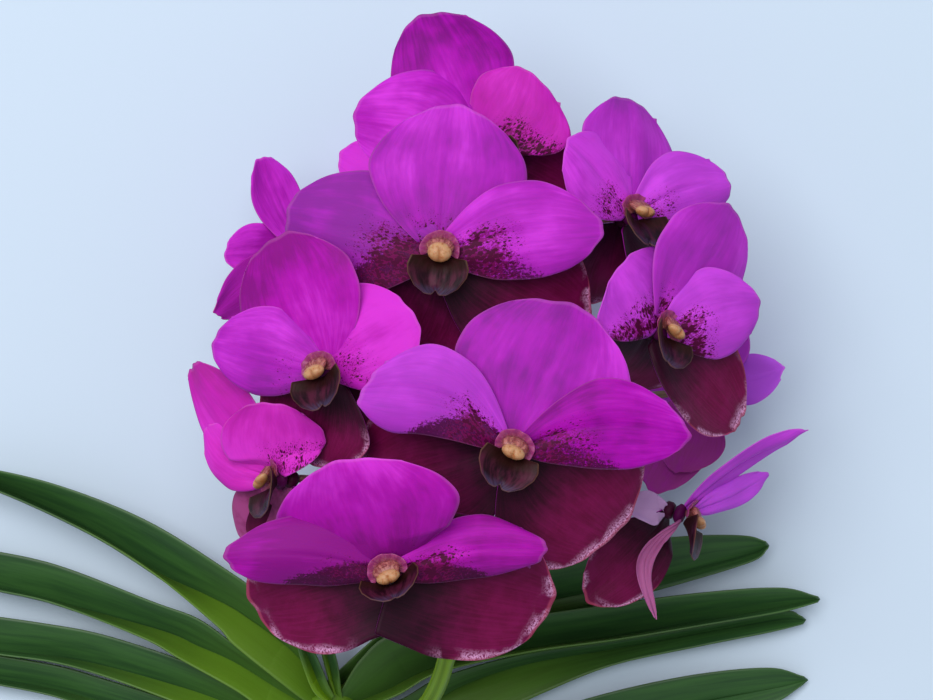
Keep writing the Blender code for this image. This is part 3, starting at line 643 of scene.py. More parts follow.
# The lateral sepals
# Two broad sepals spread below each bloom, behind its petals: deep maroon, nearly black at the
# throat, with a pale frosted margin, grown together at a hub where the flower's stalk joins.
SEPAL_THICKNESS = 0.8
SEPAL_HUB_RADIUS = 2.8
SEPAL_HUB_LOW, SEPAL_HUB_HIGH = -5.7, -2.1
SEPAL_DARK = (0.018, 0.0, 0.008)
SEPAL_MAROON = (0.12, 0.0, 0.035)
SEPAL_VEIN = (0.22, 0.004, 0.085)
SEPAL_FROST = (0.72, 0.34, 0.60)
SEPAL_EDGE = (0.50, 0.07, 0.14)
SEPAL_BACK = (0.46, 0.012, 0.44)
SEPAL_LAVENDER = (0.62, 0.36, 0.66)
SEPAL_ROSE = (0.34, 0.05, 0.20)


def sepal_finish():
    """Deep maroon that darkens to the throat, with fine veins along it, clouded patches of purple,
    frost in patches on the lower margin and a thin warm edge."""
    material, tree, shader = new_finish("sepal_skin", 0.55, specular_ior_level=0.15, subsurface_weight=0.05,
                                        subsurface_scale=0.001)
    at = read_traits(tree)
    broad_veins, fine_veins = veins_of(tree, at, 14.0)
    clouds = noise(tree, at["place"], 0.16, 4.0, 0.6)
    cloud = between(tree, clouds, 0.35, 0.7)
    fine = between(tree, fine_veins, 0.35, 0.75)
    colour = mixed(tree, between(tree, at["along"], 0.1, 0.75), SEPAL_DARK, SEPAL_MAROON)
    colour = mixed(tree, times(tree, cloud, 0.4), colour, SEPAL_VEIN)
    colour = mixed(tree, times(tree, fine, 0.42), colour, SEPAL_VEIN)
    colour = mixed(tree, at["throat"], colour, SEPAL_DARK)
    grain = noise(tree, at["place"], 1.6, 5.0, 0.75)
    patches = noise(tree, at["place"], 0.13, 1.0)
    frost = times(tree, at["spots"], between(tree, patches, 0.38, 0.52))
    frost = times(tree, frost, between(tree, grain, 0.4, 0.56))
    colour = mixed(tree, frost, colour, SEPAL_FROST)
    edge = times(tree, between(tree, at["rim"], 0.82, 1.0), between(tree, at["along"], 0.45, 0.65))
    colour = mixed(tree, times(tree, edge, 0.7), colour, SEPAL_EDGE)
    back = mixed(tree, times(tree, fine, 0.4), SEPAL_BACK, SEPAL_VEIN)
    colour = mixed(tree, at["front"], back, colour)
    pale = figured(tree, "MULTIPLY_ADD", at["tint"], -2.0, -1.0)
    colour = mixed(tree, figured(tree, "MAXIMUM", pale, 0.0), colour, SEPAL_LAVENDER)
    rosy = times(tree, between(tree, at["tint"], 1.0, 2.0), between(tree, cloud, -0.8, 0.6))
    colour = mixed(tree, rosy, colour, SEPAL_ROSE)
    tree.links.new(colour, shader.inputs["Base Color"])
    add_relief(tree, shader, fine_veins, 0.2, 0.6)
    return material


def sepal_relief(s, t, seed):
    """A shallow midrib groove and waves that deepen to the margin."""
    groove = -0.4 * np.exp(-(t / 0.08)**2) * (1 - s)
    return groove + 1.1 * waves(s, t, seed) * (0.2 + 0.8 * np.maximum(s, np.abs(t)))


def sepal_marks(s, low, dots, dark):
    """Frost along the lower and outer margin, and a dark throat."""
    near_rim = np.maximum((np.abs(low) - 0.82) / 0.14, (s - 0.88) / 0.1)
    frost = eased(near_rim) * eased((low + 0.5 + s) / 0.8) * eased((s - 0.3) / 0.3)
    return frost, 0.85 * eased((0.62 - s) / 0.5)


SEPAL_KNOB = [(SEPAL_HUB_LOW, 0), (SEPAL_HUB_LOW, 1.8), (-4.6, SEPAL_HUB_RADIUS),
              (-3.0, SEPAL_HUB_RADIUS), (SEPAL_HUB_HIGH, 2.2), (SEPAL_HUB_HIGH, 0)]
SEPAL_SKIN = sepal_finish()
for number, (name, spec) in enumerate(BLOOMS.items()):
    hub, axis, up = bloom_frame(spec)
    shells = []
    for place, part in enumerate(("sepal_left", "sepal_right")):
        seed = number * 3.1 + place + 0.5
        shells.append(tepal_shell(spec, part, seed, sepal_relief, sepal_marks, SEPAL_THICKNESS))
    points, faces = turned(hub, axis, SEPAL_KNOB)
    shells.append((points, faces, traits(len(points), throat=0.6)))
    sepals = make_piece(name + "_lateral_sepals_skin", shells, SEPAL_SKIN)
    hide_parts(name + "_lateral_sepals")

# The columns
# A short stout column stands out of the middle of each bloom and bows down a little. A cream anther
# cap of two lobes closes its end. It is waxy, pinkish at the foot and finely spotted.
COLUMN_AROUND = 28
COLUMN_LINE = [(1.6, 1.0), (1.7, 1.0), (2.8, 1.5), (4.0, 1.8), (5.2, 1.2), (6.4, 0.3), (7.0, -0.2)]
COLUMN_HALF_WIDTHS = (0.0, 1.5, 2.8, 3.7, 4.2, 3.6, 0.0)
COLUMN_FLATNESS = 0.5
CAP_MIDDLE = (6.9, -0.6)
CAP_HALF_WIDTH = 3.6
CAP_HALF_DEPTH = 2.0
CAP_ROWS, CAP_AROUND = 20, 32
COLLAR_ROWS, COLLAR_COLUMNS = 18, 60
COLLAR_FROM, COLLAR_TO = -28, 208
COLLAR_HALF_WIDTH = 6.0
COLLAR_RISE = 5.4
COLLAR_THICKNESS = 0.4
CAP_CREAM = (0.54, 0.28, 0.14)
CAP_AMBER = (0.36, 0.11, 0.03)
COLUMN_ROSE = (0.48, 0.16, 0.15)
COLUMN_BROWN = (0.20, 0.035, 0.04)
COLUMN_GOLD = (0.55, 0.30, 0.12)
COLLAR_RIM = (0.33, 0.02, 0.20)


def column_finish():
    """Waxy cream on the cap with amber grain, and darker amber in its groove and underneath as painted
    shade; rosy brown on the collar with a gold rim and golden grains, and small brown spots."""
    material, tree, shader = new_finish("column_wax", 0.4, specular_ior_level=0.3, subsurface_weight=0.2,
                                        subsurface_scale=0.001)
    at = read_traits(tree)
    grain = noise(tree, at["place"], 0.9, 4.0, 0.6)
    cap = mixed(tree, between(tree, grain, 0.45, 0.75), CAP_CREAM, CAP_AMBER)
    # Painted shade: darker amber in the cap's groove and underneath it.
    cap = mixed(tree, times(tree, at["throat"], 0.75), cap, CAP_AMBER)
    broad_veins, fine_veins = veins_of(tree, at, 9.0)
    collar = mixed(tree, between(tree, fine_veins, 0.35, 0.7), COLUMN_BROWN, COLUMN_ROSE)
    grains = add_node(tree, "TexVoronoi", {"Vector": at["place"], "Scale": 2.4}, voronoi_dimensions="3D")
    golden = figured(tree, "SUBTRACT", 1.0, between(tree, grains.outputs["Distance"], 0.12, 0.34))
    collar = mixed(tree, times(tree, golden, 0.4), collar, COLUMN_GOLD)
    collar = mixed(tree, times(tree, between(tree, at["rim"], 0.3, 1.0), 0.75), collar, COLLAR_RIM)
    colour = mixed(tree, at["tint"], cap, collar)
    colour = mixed(tree, spots_of(tree, at, at["spots"], 2.2), colour, COLUMN_BROWN)
    tree.links.new(colour, shader.inputs["Base Color"])
    add_relief(tree, shader, grain, 0.12, 0.5)
    return material


def column_collar(hub, axis, up, seed):
    """The broad foot that spreads over the claws: a fan round the column's upper side, that rises to
    its scalloped rim by the square of the distance from the column."""
    right = np.cross(up, axis)
    reach = np.linspace(0.12, 1, COLLAR_ROWS)[:, None]
    angle = np.radians(np.linspace(COLLAR_FROM, COLLAR_TO, COLLAR_COLUMNS))[None, :]
    scallop = 1 + 0.03 * np.cos(3 * angle + seed) + 0.012 * np.sin(9 * angle + 2 * seed)
    out = reach * scallop
    rise = 2.1 + 1.6 * reach**2 + 0.2 * np.sin(11 * angle + seed) * reach**2
    sheet = (hub + axis * rise[..., None] + right * (COLLAR_HALF_WIDTH * out * np.cos(angle))[..., None]
             + up * (COLLAR_RISE * out * np.sin(angle) + 0.4)[..., None])
    points, faces = skin(sheet, COLLAR_THICKNESS, COLLAR_THICKNESS / 2)
    share = reach + 0 * angle
    return points, faces, traits(len(points), across=angle / 6.3 + 0 * reach, along=share,
                                 across_mm=COLLAR_HALF_WIDTH * out * np.cos(angle),
                                 along_mm=COLLAR_RISE * out * np.sin(angle), seed=seed,
                                 spots=0.6 * (1 - share), rim=share, tint=1.0)


def column_body(hub, axis, up):
    """The column: flat rounds across its bowed line, widest over the claws."""
    right = np.cross(up, axis)
    height, rise = np.array(COLUMN_LINE).T
    half = np.array(COLUMN_HALF_WIDTHS)
    angle = np.linspace(0, 2 * math.pi, COLUMN_AROUND, endpoint=False)
    middle = hub + axis * height[:, None] + up * rise[:, None]
    points = (middle[:, None] + right * (half[:, None] * np.cos(angle))[..., None]
              + up * (COLUMN_FLATNESS * half[:, None] * np.sin(angle))[..., None])
    faces = grid_quads(len(height), COLUMN_AROUND, wrapped=True)
    share = np.repeat(height / height[-1], COLUMN_AROUND)
    around = np.tile(angle, len(height))
    marks = traits(points.shape[0] * COLUMN_AROUND, across=around / 6.3, along=share,
                   across_mm=np.cos(around) * 2, along_mm=share * 7, seed=hub[0], spots=0.4,
                   tint=eased((1.12 - share) / 0.2))
    return points.reshape(-1, 3), faces, marks


def anther_cap(hub, axis, up, half_height):
    """The cap: a flattened ball whose front is parted by a groove, with a low lobe swelling on each side of
    it.
    """
    right = np.cross(up, axis)
    polar = np.linspace(0, math.pi, CAP_ROWS)[:, None]
    angle = np.linspace(0, 2 * math.pi, CAP_AROUND, endpoint=False)[None, :]
    a, b, c = np.sin(polar) * np.cos(angle), np.sin(polar) * np.sin(angle), np.cos(polar) + 0 * angle
    groove = np.exp(-(a / 0.13)**2) * eased((c + 0.3) / 0.8) * eased((0.75 - b) / 0.6)
    lobes = np.exp(-((np.abs(a) - 0.45) / 0.25)**2) * np.exp(-((b + 0.35) / 0.5)**2) * eased(c)
    swell = 1 - 0.2 * groove + 0.1 * lobes
    under = eased((-0.1 - b) / 0.7)
    w, h, d = CAP_HALF_WIDTH, half_height, CAP_HALF_DEPTH
    middle = hub + axis * CAP_MIDDLE[0] + up * CAP_MIDDLE[1]
    points = (middle + right * (a * w * swell)[..., None] + up * (b * h * swell)[..., None]
              + axis * (c * d * swell)[..., None])
    # The cap's throat mark is painted shade in its groove and underneath.
    marks = traits(a.size, across=angle / 6.3 + 0 * polar, along=polar / 3.15 + 0 * angle,
                   across_mm=a * w, along_mm=b * h, seed=hub[1], spots=0.12,
                   throat=np.maximum(groove, 0.8 * under))
    return points.reshape(-1, 3), grid_quads(CAP_ROWS, CAP_AROUND, wrapped=True), marks


COLUMN_WAX = column_finish()
for name, spec in BLOOMS.items():
    hub, axis, up = bloom_frame(spec)
    shells = [column_body(hub, axis, up), column_collar(hub, axis, up, hub[0]),
              anther_cap(hub, axis, up, spec["cap"])]
    column = make_piece(name + "_column_wax", shells, COLUMN_WAX)
    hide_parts(name + "_column")

# The lips
# Below each column hangs the lip: a short dark trough, brown at its throat and violet black, with a
# painted bluish sheen in front. Its side lobes stand up and its front lobe spreads to a parted end.
LIP_THICKNESS = 0.8
LIP_LENGTH = 11.5
LIP_IN_FRONT = 2.4
LIP_IN_FRONT_WHEN_LEVEL = 1.7
LIP_BELOW = 2.4
LIP_BELOW_WHEN_LEVEL = 4.0
LIP_ROWS, LIP_COLUMNS = 36, 30
LIP_SHARES = (0.0, 0.2, 0.42, 0.6, 0.85, 1.0)
LIP_HALF_WIDTHS = (3.0, 8.2, 9.2, 8.8, 6.6, 3.2)
LIP_SIDE_LOBES = (1.0, 4.6, 3.6, 2.6, 1.4, 0.4)
LIP_BROWN = (0.022, 0.006, 0.004)
LIP_BLACK = (0.012, 0.002, 0.006)
LIP_VIOLET = (0.075, 0.010, 0.03)
LIP_PAINTED_SHEEN = (0.055, 0.035, 0.085)
LIP_GOLD = (0.22, 0.09, 0.05)


def lip_finish():
    """Violet black, brown in the throat, with a painted bluish sheen at the end of the front lobe and a
    thin reddish gold rim."""
    material, tree, shader = new_finish("lip_wax", 0.4, specular_ior_level=0.1)
    at = read_traits(tree)
    broad_veins, fine_veins = veins_of(tree, at, 8.0)
    broad = between(tree, broad_veins, 0.35, 0.7)
    colour = mixed(tree, broad, LIP_BLACK, LIP_VIOLET)
    colour = mixed(tree, times(tree, at["throat"], 0.8), colour, LIP_BROWN)
    # A painted sheen: a bluish highlight on the end of the front lobe, masked by the spots mark.
    painted_sheen = times(tree, at["spots"], between(tree, fine_veins, 0.3, 0.65))
    colour = mixed(tree, painted_sheen, colour, LIP_PAINTED_SHEEN)
    colour = mixed(tree, times(tree, between(tree, at["rim"], 0.86, 1.0), 0.4), colour, LIP_GOLD)
    tree.links.new(colour, shader.inputs["Base Color"])
    add_relief(tree, shader, fine_veins, 0.2, 0.6)
    return material


def lip_shell(hub, axis, up, drop, seed):
    """The lip: across, a trough whose sides rise by the power 1.6 of the distance from its keel;
    along, it curls down by the square. Three low ribs run down it, and its end is parted."""
    right = np.cross(up, axis)
    fall = math.radians(drop)
    ahead = math.cos(fall) * axis - math.sin(fall) * up
    top = math.sin(fall) * axis + math.cos(fall) * up
    s = np.linspace(0, 1, LIP_ROWS + 1)[:, None]
    t = np.linspace(-1, 1, LIP_COLUMNS + 1)[None, :]
    half = np.interp(s, LIP_SHARES, LIP_HALF_WIDTHS)
    lobes = np.interp(s, LIP_SHARES, LIP_SIDE_LOBES) * np.abs(t)**1.6
    ribs = 0.35 * np.cos(t * 9) * np.exp(-(t / 0.35)**2) * np.sin(math.pi * s)
    parted = 1.6 * np.exp(-(t / 0.22)**2) * eased((s - 0.7) / 0.3)
    below = np.interp(drop, (0, 45), (LIP_BELOW_WHEN_LEVEL, LIP_BELOW))
    in_front = np.interp(drop, (0, 45), (LIP_IN_FRONT_WHEN_LEVEL, LIP_IN_FRONT))
    base = hub + axis * in_front - up * below
    sheet = (base + ahead * (s * LIP_LENGTH - parted)[..., None] + right * (t * half)[..., None]
             + top * (lobes + ribs - 2.2 * s**2)[..., None])
    points, faces = skin(sheet, LIP_THICKNESS, MARGIN_THICKNESS)
    s, t = s + 0 * t, t + 0 * s
    # The lip's spots mark is the mask of its painted bluish sheen.
    return points, faces, traits(
        len(points), across=(t + 1) / 2, along=s, across_mm=t * half, along_mm=s * LIP_LENGTH, seed=seed,
        spots=eased((s - 0.74) / 0.24), throat=eased((0.58 - s) / 0.3), rim=rim_nearness(s, t))


LIP_WAX = lip_finish()
for number, (name, spec) in enumerate(BLOOMS.items()):
    hub, axis, up = bloom_frame(spec)
    lip = make_piece(name + "_lip_wax", [lip_shell(hub, axis, up, spec["lip_drop"], number * 4.1)], LIP_WAX)
    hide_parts(name + "_lip")

# The flower stem
# A green stem, as thick as a pencil at its root, rises from a leaf's axil and bears a stalk to the
# back of each bloom. A small papery bract clasps the foot of each stalk.
SPIKE_LINE = [(358.5, 746, 17.6), (366, 745, 22), (380, 742, 25.5), (405, 732, 30), (430, 700, 38),
              (446, 660, 50), (455, 600, 60), (458, 500, 66), (460, 400, 70), (466, 300, 72),
              (472, 200, 74), (478, 158, 78)]
SPIKE_RADIUS_LOW, SPIKE_RADIUS_HIGH = 3.2, 1.8
SPIKE_RINGS, SPIKE_AROUND = 160, 24
NODE_SHARES = (0.16, 0.27)
PEDICEL_END = -6.2
PEDICEL_RADIUS = 1.2
PEDICEL_RINGS, PEDICEL_AROUND = 30, 16
PEDICEL_LEAVES_UPWARDS = (0.0, 0.3, 0.1)
BRACT_ROWS, BRACT_COLUMNS = 14, 12
BRACT_LENGTH, BRACT_RADIUS = 7, 1.7
BRACT_THICKNESS, BRACT_MARGIN = 0.35, 0.15
STEM_GREEN = (0.10, 0.19, 0.006)
STEM_LIME = (0.21, 0.36, 0.015)
STEM_BLUSH = (0.20, 0.05, 0.08)


def smooth_line(points, shares):
    """Points at the given shares of the length of a smooth line through the given points: between
    each two, the cubic whose slopes there are half the step from the point before to the next."""
    p = np.asarray(points, float)
    p = np.vstack([2 * p[0] - p[1], p, 2 * p[-1] - p[-2]])
    u = np.linspace(0, 1, 24, endpoint=False)[:, None]
    pieces = []
    for a, b, c, d in zip(p, p[1:], p[2:], p[3:]):
        pieces.append(0.5 * (2 * b + (c - a) * u + (2 * a - 5 * b + 4 * c - d) * u**2
                             + (3 * b - a - 3 * c + d) * u**3))
    line = np.vstack(pieces + [p[-2:-1]])
    along = np.r_[0, np.cumsum(np.linalg.norm(np.diff(line, axis=0), axis=1))]
    at = np.asarray(shares) * along[-1]
    return np.stack([np.interp(at, along, line[:, k]) for k in range(3)], axis=1)


def round_stem(line, radii, around, level, seed, tint):
    """A closed stem: rounds of the given radii across a line, which may change around it too. The
    rounds keep one side level, and the ends close on the line."""
    line = np.vstack([line[:1], line, line[-1:]])
    radii = np.vstack([0 * radii[:1], radii, 0 * radii[-1:]])
    tangents = np.gradient(line[1:-1], axis=0)
    tangents = unit(np.vstack([tangents[:1], tangents, tangents[-1:]]))
    x = unit(np.cross(tangents, level))
    y = np.cross(tangents, x)
    angle = np.linspace(0, 2 * math.pi, around, endpoint=False)
    points = (line[:, None] + x[:, None] * (radii * np.cos(angle))[..., None]
              + y[:, None] * (radii * np.sin(angle))[..., None])
    share = np.linspace(0, 1, len(line))[:, None] + 0 * angle
    length = np.linalg.norm(np.diff(line, axis=0), axis=1).sum()
    marks = traits(share.size, across=angle / 6.3 + 0 * share, along=share, across_mm=radii * np.cos(angle),
                   along_mm=share * length, seed=seed, tint=tint * share)
    return points.reshape(-1, 3), grid_quads(len(line), around, wrapped=True), marks


def stem_finish():
    """Smooth green, limy in streaks along it, blushing pink towards the blooms."""
    material, tree, shader = new_finish("stem_green", 0.45, specular_ior_level=0.3, subsurface_weight=0.1,
                                        subsurface_scale=0.001)
    at = read_traits(tree)
    broad_veins, fine_veins = veins_of(tree, at, 12.0)
    colour = mixed(tree, between(tree, broad_veins, 0.35, 0.7), STEM_GREEN, STEM_LIME)
    colour = mixed(tree, at["tint"], colour, STEM_BLUSH)
    tree.links.new(colour, shader.inputs["Base Color"])
    add_relief(tree, shader, fine_veins, 0.1, 0.4)
    return material


def pedicel_line(root, hub, axis):
    """A stalk's curve: a cubic that leaves the stem upwards and arrives square to the bloom's back."""
    end = hub + axis * PEDICEL_END
    reach = np.linalg.norm(end - root)
    leave = root + (0.8 * unit(end - root) + np.array(PEDICEL_LEAVES_UPWARDS)) * reach / 3
    arrive = end - axis * reach * 0.3
    u = np.linspace(0, 1, PEDICEL_RINGS)[:, None]
    return (1 - u)**3 * root + 3 * (1 - u)**2 * u * leave + 3 * (1 - u) * u**2 * arrive + u**3 * end


def bract(root, towards, seed):
    """A pointed scale that clasps the foot of a stalk: a half cone, widest low down, cut to a point
    a fifth of a millimetre wide."""
    s = np.linspace(0, 1, BRACT_ROWS)[:, None]
    t = np.linspace(-1, 1, BRACT_COLUMNS)[None, :]
    ahead = unit(towards - root)
    under = unit(np.cross(np.cross(ahead, (0.2, 1.0, 0.3)), ahead))
    side = np.cross(ahead, under)
    spread = 1.9 * t * (1 - 0.97 * s**2)
    sheet = (root + ahead * (s * BRACT_LENGTH - 0.5)[..., None]
             - under * (np.cos(spread) * (BRACT_RADIUS - 0.4 * s))[..., None]
             + side * (np.sin(spread) * BRACT_RADIUS)[..., None])
    points, faces = skin(sheet, BRACT_THICKNESS, BRACT_MARGIN)
    s = s + 0 * t
    return points, faces, traits(len(points), across=(t + 1) / 2 + 0 * s, along=s, seed=seed,
                                 tint=0.3 + 0 * s)


STEM_SKIN = stem_finish()
stem_points = [seen(*place) for place in SPIKE_LINE]
shares = np.linspace(0, 1, SPIKE_RINGS)
radii = np.linspace(SPIKE_RADIUS_LOW, SPIKE_RADIUS_HIGH, SPIKE_RINGS)[:, None]
for ring in NODE_SHARES:
    radii = radii + 0.35 * np.exp(-((shares[:, None] - ring) / 0.006)**2)
shells = [round_stem(smooth_line(stem_points, shares), radii + np.zeros((1, SPIKE_AROUND)), SPIKE_AROUND,
                     (0, 0, 1), 3.0, 0.0)]
for number, (name, spec) in enumerate(BLOOMS.items()):
    hub, axis, up = bloom_frame(spec)
    root = smooth_line(stem_points, [spec["stalk"]])[0]
    line = pedicel_line(root, hub, axis)
    angle = np.linspace(0, 2 * math.pi, PEDICEL_AROUND, endpoint=False)
    share = np.linspace(0, 1, PEDICEL_RINGS)[:, None]
    ribs = PEDICEL_RADIUS * (1 + 0.08 * np.cos(3 * angle + 4 * share) * eased(share * 2))
    level = unit(np.cross(line[1] - line[0], line[-1] - line[-2]) + (0.001, 0, 0))
    shells.append(round_stem(line, ribs, PEDICEL_AROUND, level, number * 5.0, 0.9))
    shells.append(bract(root, line[8], number * 2.0))
flower_stem = make_piece("flower_stem_skin", shells, STEM_SKIN)
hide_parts("flower_stem")

# The leafy shoot and its leaves
# The shoot is a short stem wrapped in the folded sheaths of its leaves. Each leaf is a tough strap
# with a keel below and a channel above, dark green and limy towards its sheath.
SHOOT_LINE = [(327, 690, 10), (334, 712, 8.4), (342, 738, 8.3), (356, 776, 8.4)]
SHOOT_RADII = (6.5, 9.0, 9.5, 9.2)
SHOOT_RINGS, SHOOT_AROUND = 40, 36
LEAF_THICKNESS = 1.1
LEAF_MARGIN = 0.5
SHEATH_THICKNESS = 1.4
LEAF_JOINT = 0.17
YOUNG_LEAF_JOINT = 0.34
LEAF_ROOT = 0.03
LIME_SHARES = {"left": 0.62, "right": 0.4}
LEAF_ROWS, LEAF_COLUMNS = 110, 28
SHEATH_ROWS = 30
LEAF_DARK = (0.016, 0.055, 0.017)
LEAF_GREEN = (0.040, 0.12, 0.026)
LEAF_LIME = (0.15, 0.29, 0.006)
LEAF_KEEL_AND_EDGE_HIGHLIGHT = (0.15, 0.24, 0.06)
LEAVES = {
    "leaf_left_1": dict(
        upper=[(330, 694, 14), (312, 655, 17), (275, 607, 19), (222, 567, 19),
            (143, 519, 18), (53, 484, 17), (-30, 466, 15), (-60, 468, 12)],
        keel=[(328, 700, 9), (297, 655, 10), (244, 615, 10), (208, 596, 9),
            (154, 572, 8), (89, 532, 8), (0, 490, 7), (-62, 472, 8)],
        lower=[(320, 712, 12), (290, 690, 17), (235, 646, 18), (217, 626, 18),
            (156, 575, 20), (89, 533, 20), (0, 492, 18), (-60, 476, 12)]),
    "leaf_left_2": dict(
        upper=[(332, 708, 10), (290, 682, 12), (235, 645, 13), (198, 619, 13),
            (153, 602, 12), (53, 564, 12), (-30, 548, 10), (-62, 551, 8)],
        keel=[(330, 718, 8), (281, 690, 7), (235, 662, 6), (198, 646, 5),
            (162, 631, 5), (53, 602, 5), (-20, 584, 5), (-64, 560, 5)],
        lower=[(326, 726, 10), (275, 716, 13), (235, 690, 14), (180, 659, 15),
            (143, 638, 15), (53, 603, 16), (-20, 586, 13), (-62, 566, 9)]),
    "leaf_left_3": dict(
        upper=[(338, 730, 9), (290, 712, 9), (240, 686, 9), (184, 661, 9),
            (107, 636, 9), (53, 625, 9), (-30, 614, 8), (-60, 618, 6)],
        keel=[(336, 738, 7), (290, 726, 4), (240, 708, 3), (190, 690, 3),
            (107, 667, 3), (53, 657, 3), (-20, 648, 3), (-62, 628, 3)],
        lower=[(334, 744, 9), (285, 742, 9), (235, 726, 10), (180, 704, 11),
            (107, 677, 11), (53, 662, 12), (-20, 651, 10), (-60, 634, 7)]),
    "leaf_left_4": dict(
        upper=[(344, 748, 8), (290, 742, 5), (230, 722, 5), (170, 700, 5),
            (107, 680, 5), (53, 665, 6), (-30, 652, 6), (-58, 655, 5)],
        keel=[(343, 756, 6), (290, 758, 2), (230, 742, 1.5), (170, 722, 1.5),
            (107, 704, 1.5), (53, 690, 1.5), (-20, 678, 1.5), (-60, 664, 2)],
        lower=[(342, 764, 8), (286, 772, 6), (230, 760, 7), (170, 740, 8),
            (107, 716, 8), (53, 696, 9), (-20, 681, 8), (-58, 671, 5)]),
    "leaf_right_1": dict(
        upper=[(326, 682, 11), (400, 618, 17), (470, 580, 20), (560, 556, 21),
            (620, 543, 21), (692, 536, 19), (745, 536, 16), (766, 542, 14)],
        keel=[(330, 690, 8), (405, 648, 6), (470, 617, 6), (560, 598, 7),
            (620, 586, 9), (665, 577, 10), (749, 555, 10), (769, 545, 11)],
        lower=[(332, 700, 8), (412, 664, 5), (475, 638, 5), (560, 614, 6),
            (620, 600, 10), (665, 588, 13), (750, 562, 13), (768, 548, 12)]),
    "leaf_right_2": dict(
        upper=[(336, 700, 15), (362, 658, 17), (400, 632, 18), (500, 620, 17),
            (600, 606, 16), (700, 593, 14), (780, 588, 12), (818, 597, 10)],
        keel=[(338, 710, 9), (385, 692, 8), (437, 668, 7), (528, 650, 6),
            (620, 637, 6), (710, 621, 6), (780, 608, 7), (820, 599, 8)],
        lower=[(340, 716, 12), (395, 696, 18), (440, 672, 19), (528, 652, 18),
            (620, 639, 18), (710, 624, 17), (780, 612, 13), (818, 602, 9)]),
    "leaf_right_3": dict(
        upper=[(340, 722, 12), (400, 700, 9), (440, 678, 8), (520, 655, 7),
            (620, 640, 7), (710, 625, 7), (782, 611, 7), (802, 617, 6)],
        keel=[(344, 732, 8), (405, 718, 4), (463, 685, 3), (530, 663, 3),
            (613, 649, 3), (700, 633, 3), (775, 621, 3), (806, 620, 4)],
        lower=[(346, 740, 11), (420, 742, 9), (480, 722, 10), (545, 692, 10),
            (613, 665, 10), (700, 646, 9), (770, 632, 7), (803, 624, 5)]),
    "leaf_right_4": dict(
        upper=[(346, 748, 10), (420, 752, 7), (480, 734, 7), (540, 713, 6),
            (620, 690, 6), (700, 674, 6), (770, 668, 5), (804, 677, 4)],
        keel=[(350, 756, 7), (420, 765, 2), (480, 752, 1.5), (560, 735, 1.5),
            (640, 715, 1.5), (710, 700, 1.5), (775, 688, 2), (808, 680, 2)],
        lower=[(352, 764, 9), (420, 782, 7), (480, 772, 8), (560, 760, 8),
            (640, 744, 8), (720, 724, 7), (775, 703, 5), (802, 685, 3)]),
    "leaf_young_1": dict(
        upper=[(334, 696, 19), (328, 684, 22), (318, 660, 26), (308, 640, 28), (300, 624, 29)],
        keel=[(331, 700, 16), (321, 688, 18), (311, 664, 21), (303, 642, 25), (298, 624, 28)],
        lower=[(328, 704, 19), (314, 692, 22), (304, 668, 26), (297, 644, 28), (296, 625, 29)]),
    "leaf_young_2": dict(
        upper=[(342, 698, 15), (340, 682, 19), (337, 662, 21), (330, 640, 23), (320, 624, 25)],
        keel=[(338, 700, 11), (334, 688, 15), (329, 664, 17), (323, 642, 20), (317, 624, 23)],
        lower=[(337, 702, 13), (332, 690, 17), (325, 666, 19), (319, 644, 22), (315, 626, 24)]),
}


def leaf_finish():
    """Leathery green with fine ribs along the blade, darker towards the tip, limy towards the sheath,
    paler along the keel, and paler at the margins as painted highlight where the edges catch the light."""
    material, tree, shader = new_finish("leaf_skin", 0.42, specular_ior_level=0.35)
    at = read_traits(tree)
    broad_veins, fine_veins = veins_of(tree, at, 10.0)
    broad = between(tree, broad_veins, 0.3, 0.7)
    colour = mixed(tree, figured(tree, "MULTIPLY_ADD", broad, 0.7, 0.15), LEAF_DARK, LEAF_GREEN)
    colour = mixed(tree, at["tint"], colour, LEAF_LIME)
    colour = mixed(tree, times(tree, at["throat"], 0.5), colour, LEAF_KEEL_AND_EDGE_HIGHLIGHT)
    # Paler margins: painted highlight where the leaf's edges catch the light.
    colour = mixed(tree, times(tree, between(tree, at["rim"], 0.8, 1.0), 0.2), colour, LEAF_KEEL_AND_EDGE_HIGHLIGHT)
    tree.links.new(colour, shader.inputs["Base Color"])
    add_relief(tree, shader, fine_veins, 0.12, 0.5)
    return material


def leaf_shell(lines, start, end, thickness, lime, seed, rows=LEAF_ROWS):
    """A keeled strap between two shares of its length: straight halves from the keel to the margins,
    rounded over at the keel and swelling a little between keel and margin."""
    shares = np.linspace(start, end, rows + 1)
    upper, keel, lower = (smooth_line([seen(*place) for place in lines[line]], shares)[:, None]
                          for line in ("upper", "keel", "lower"))
    t = np.linspace(-1, 1, LEAF_COLUMNS + 1)[None, :]
    share = ((np.sqrt(t**2 + 0.02) - math.sqrt(0.02)) / (math.sqrt(1.02) - math.sqrt(0.02)))[..., None]
    margin = np.where(t[..., None] < 0, upper, lower)
    sheet = keel + (margin - keel) * share
    swell = 0.35 * np.sin(math.pi * np.abs(t)) * np.sin(math.pi * np.linspace(0, 1, rows + 1))[:, None]
    sheet[..., 2] = np.maximum(sheet[..., 2] + swell, thickness / 2)
    points, faces = skin(sheet, thickness, LEAF_MARGIN)
    points[:, 2] = np.maximum(points[:, 2], 0.0)
    s = shares[:, None] + 0 * t
    t = t + 0 * s
    width = np.linalg.norm(upper - lower, axis=-1)
    return points, faces, traits(len(points), across=(t + 1) / 2, along=s * 2, across_mm=t * width / 2,
                                 along_mm=s * 150, seed=seed, throat=np.exp(-(t / 0.05)**2),
                                 rim=eased((np.abs(t) - 0.85) / 0.15),
                                 tint=lime * (eased((0.5 - s) / 0.5) * eased((0.1 - t) / 0.3) * 0.45
                                              + eased((0.8 - s) / 0.55) * eased((t + 0.05) / 0.25)))


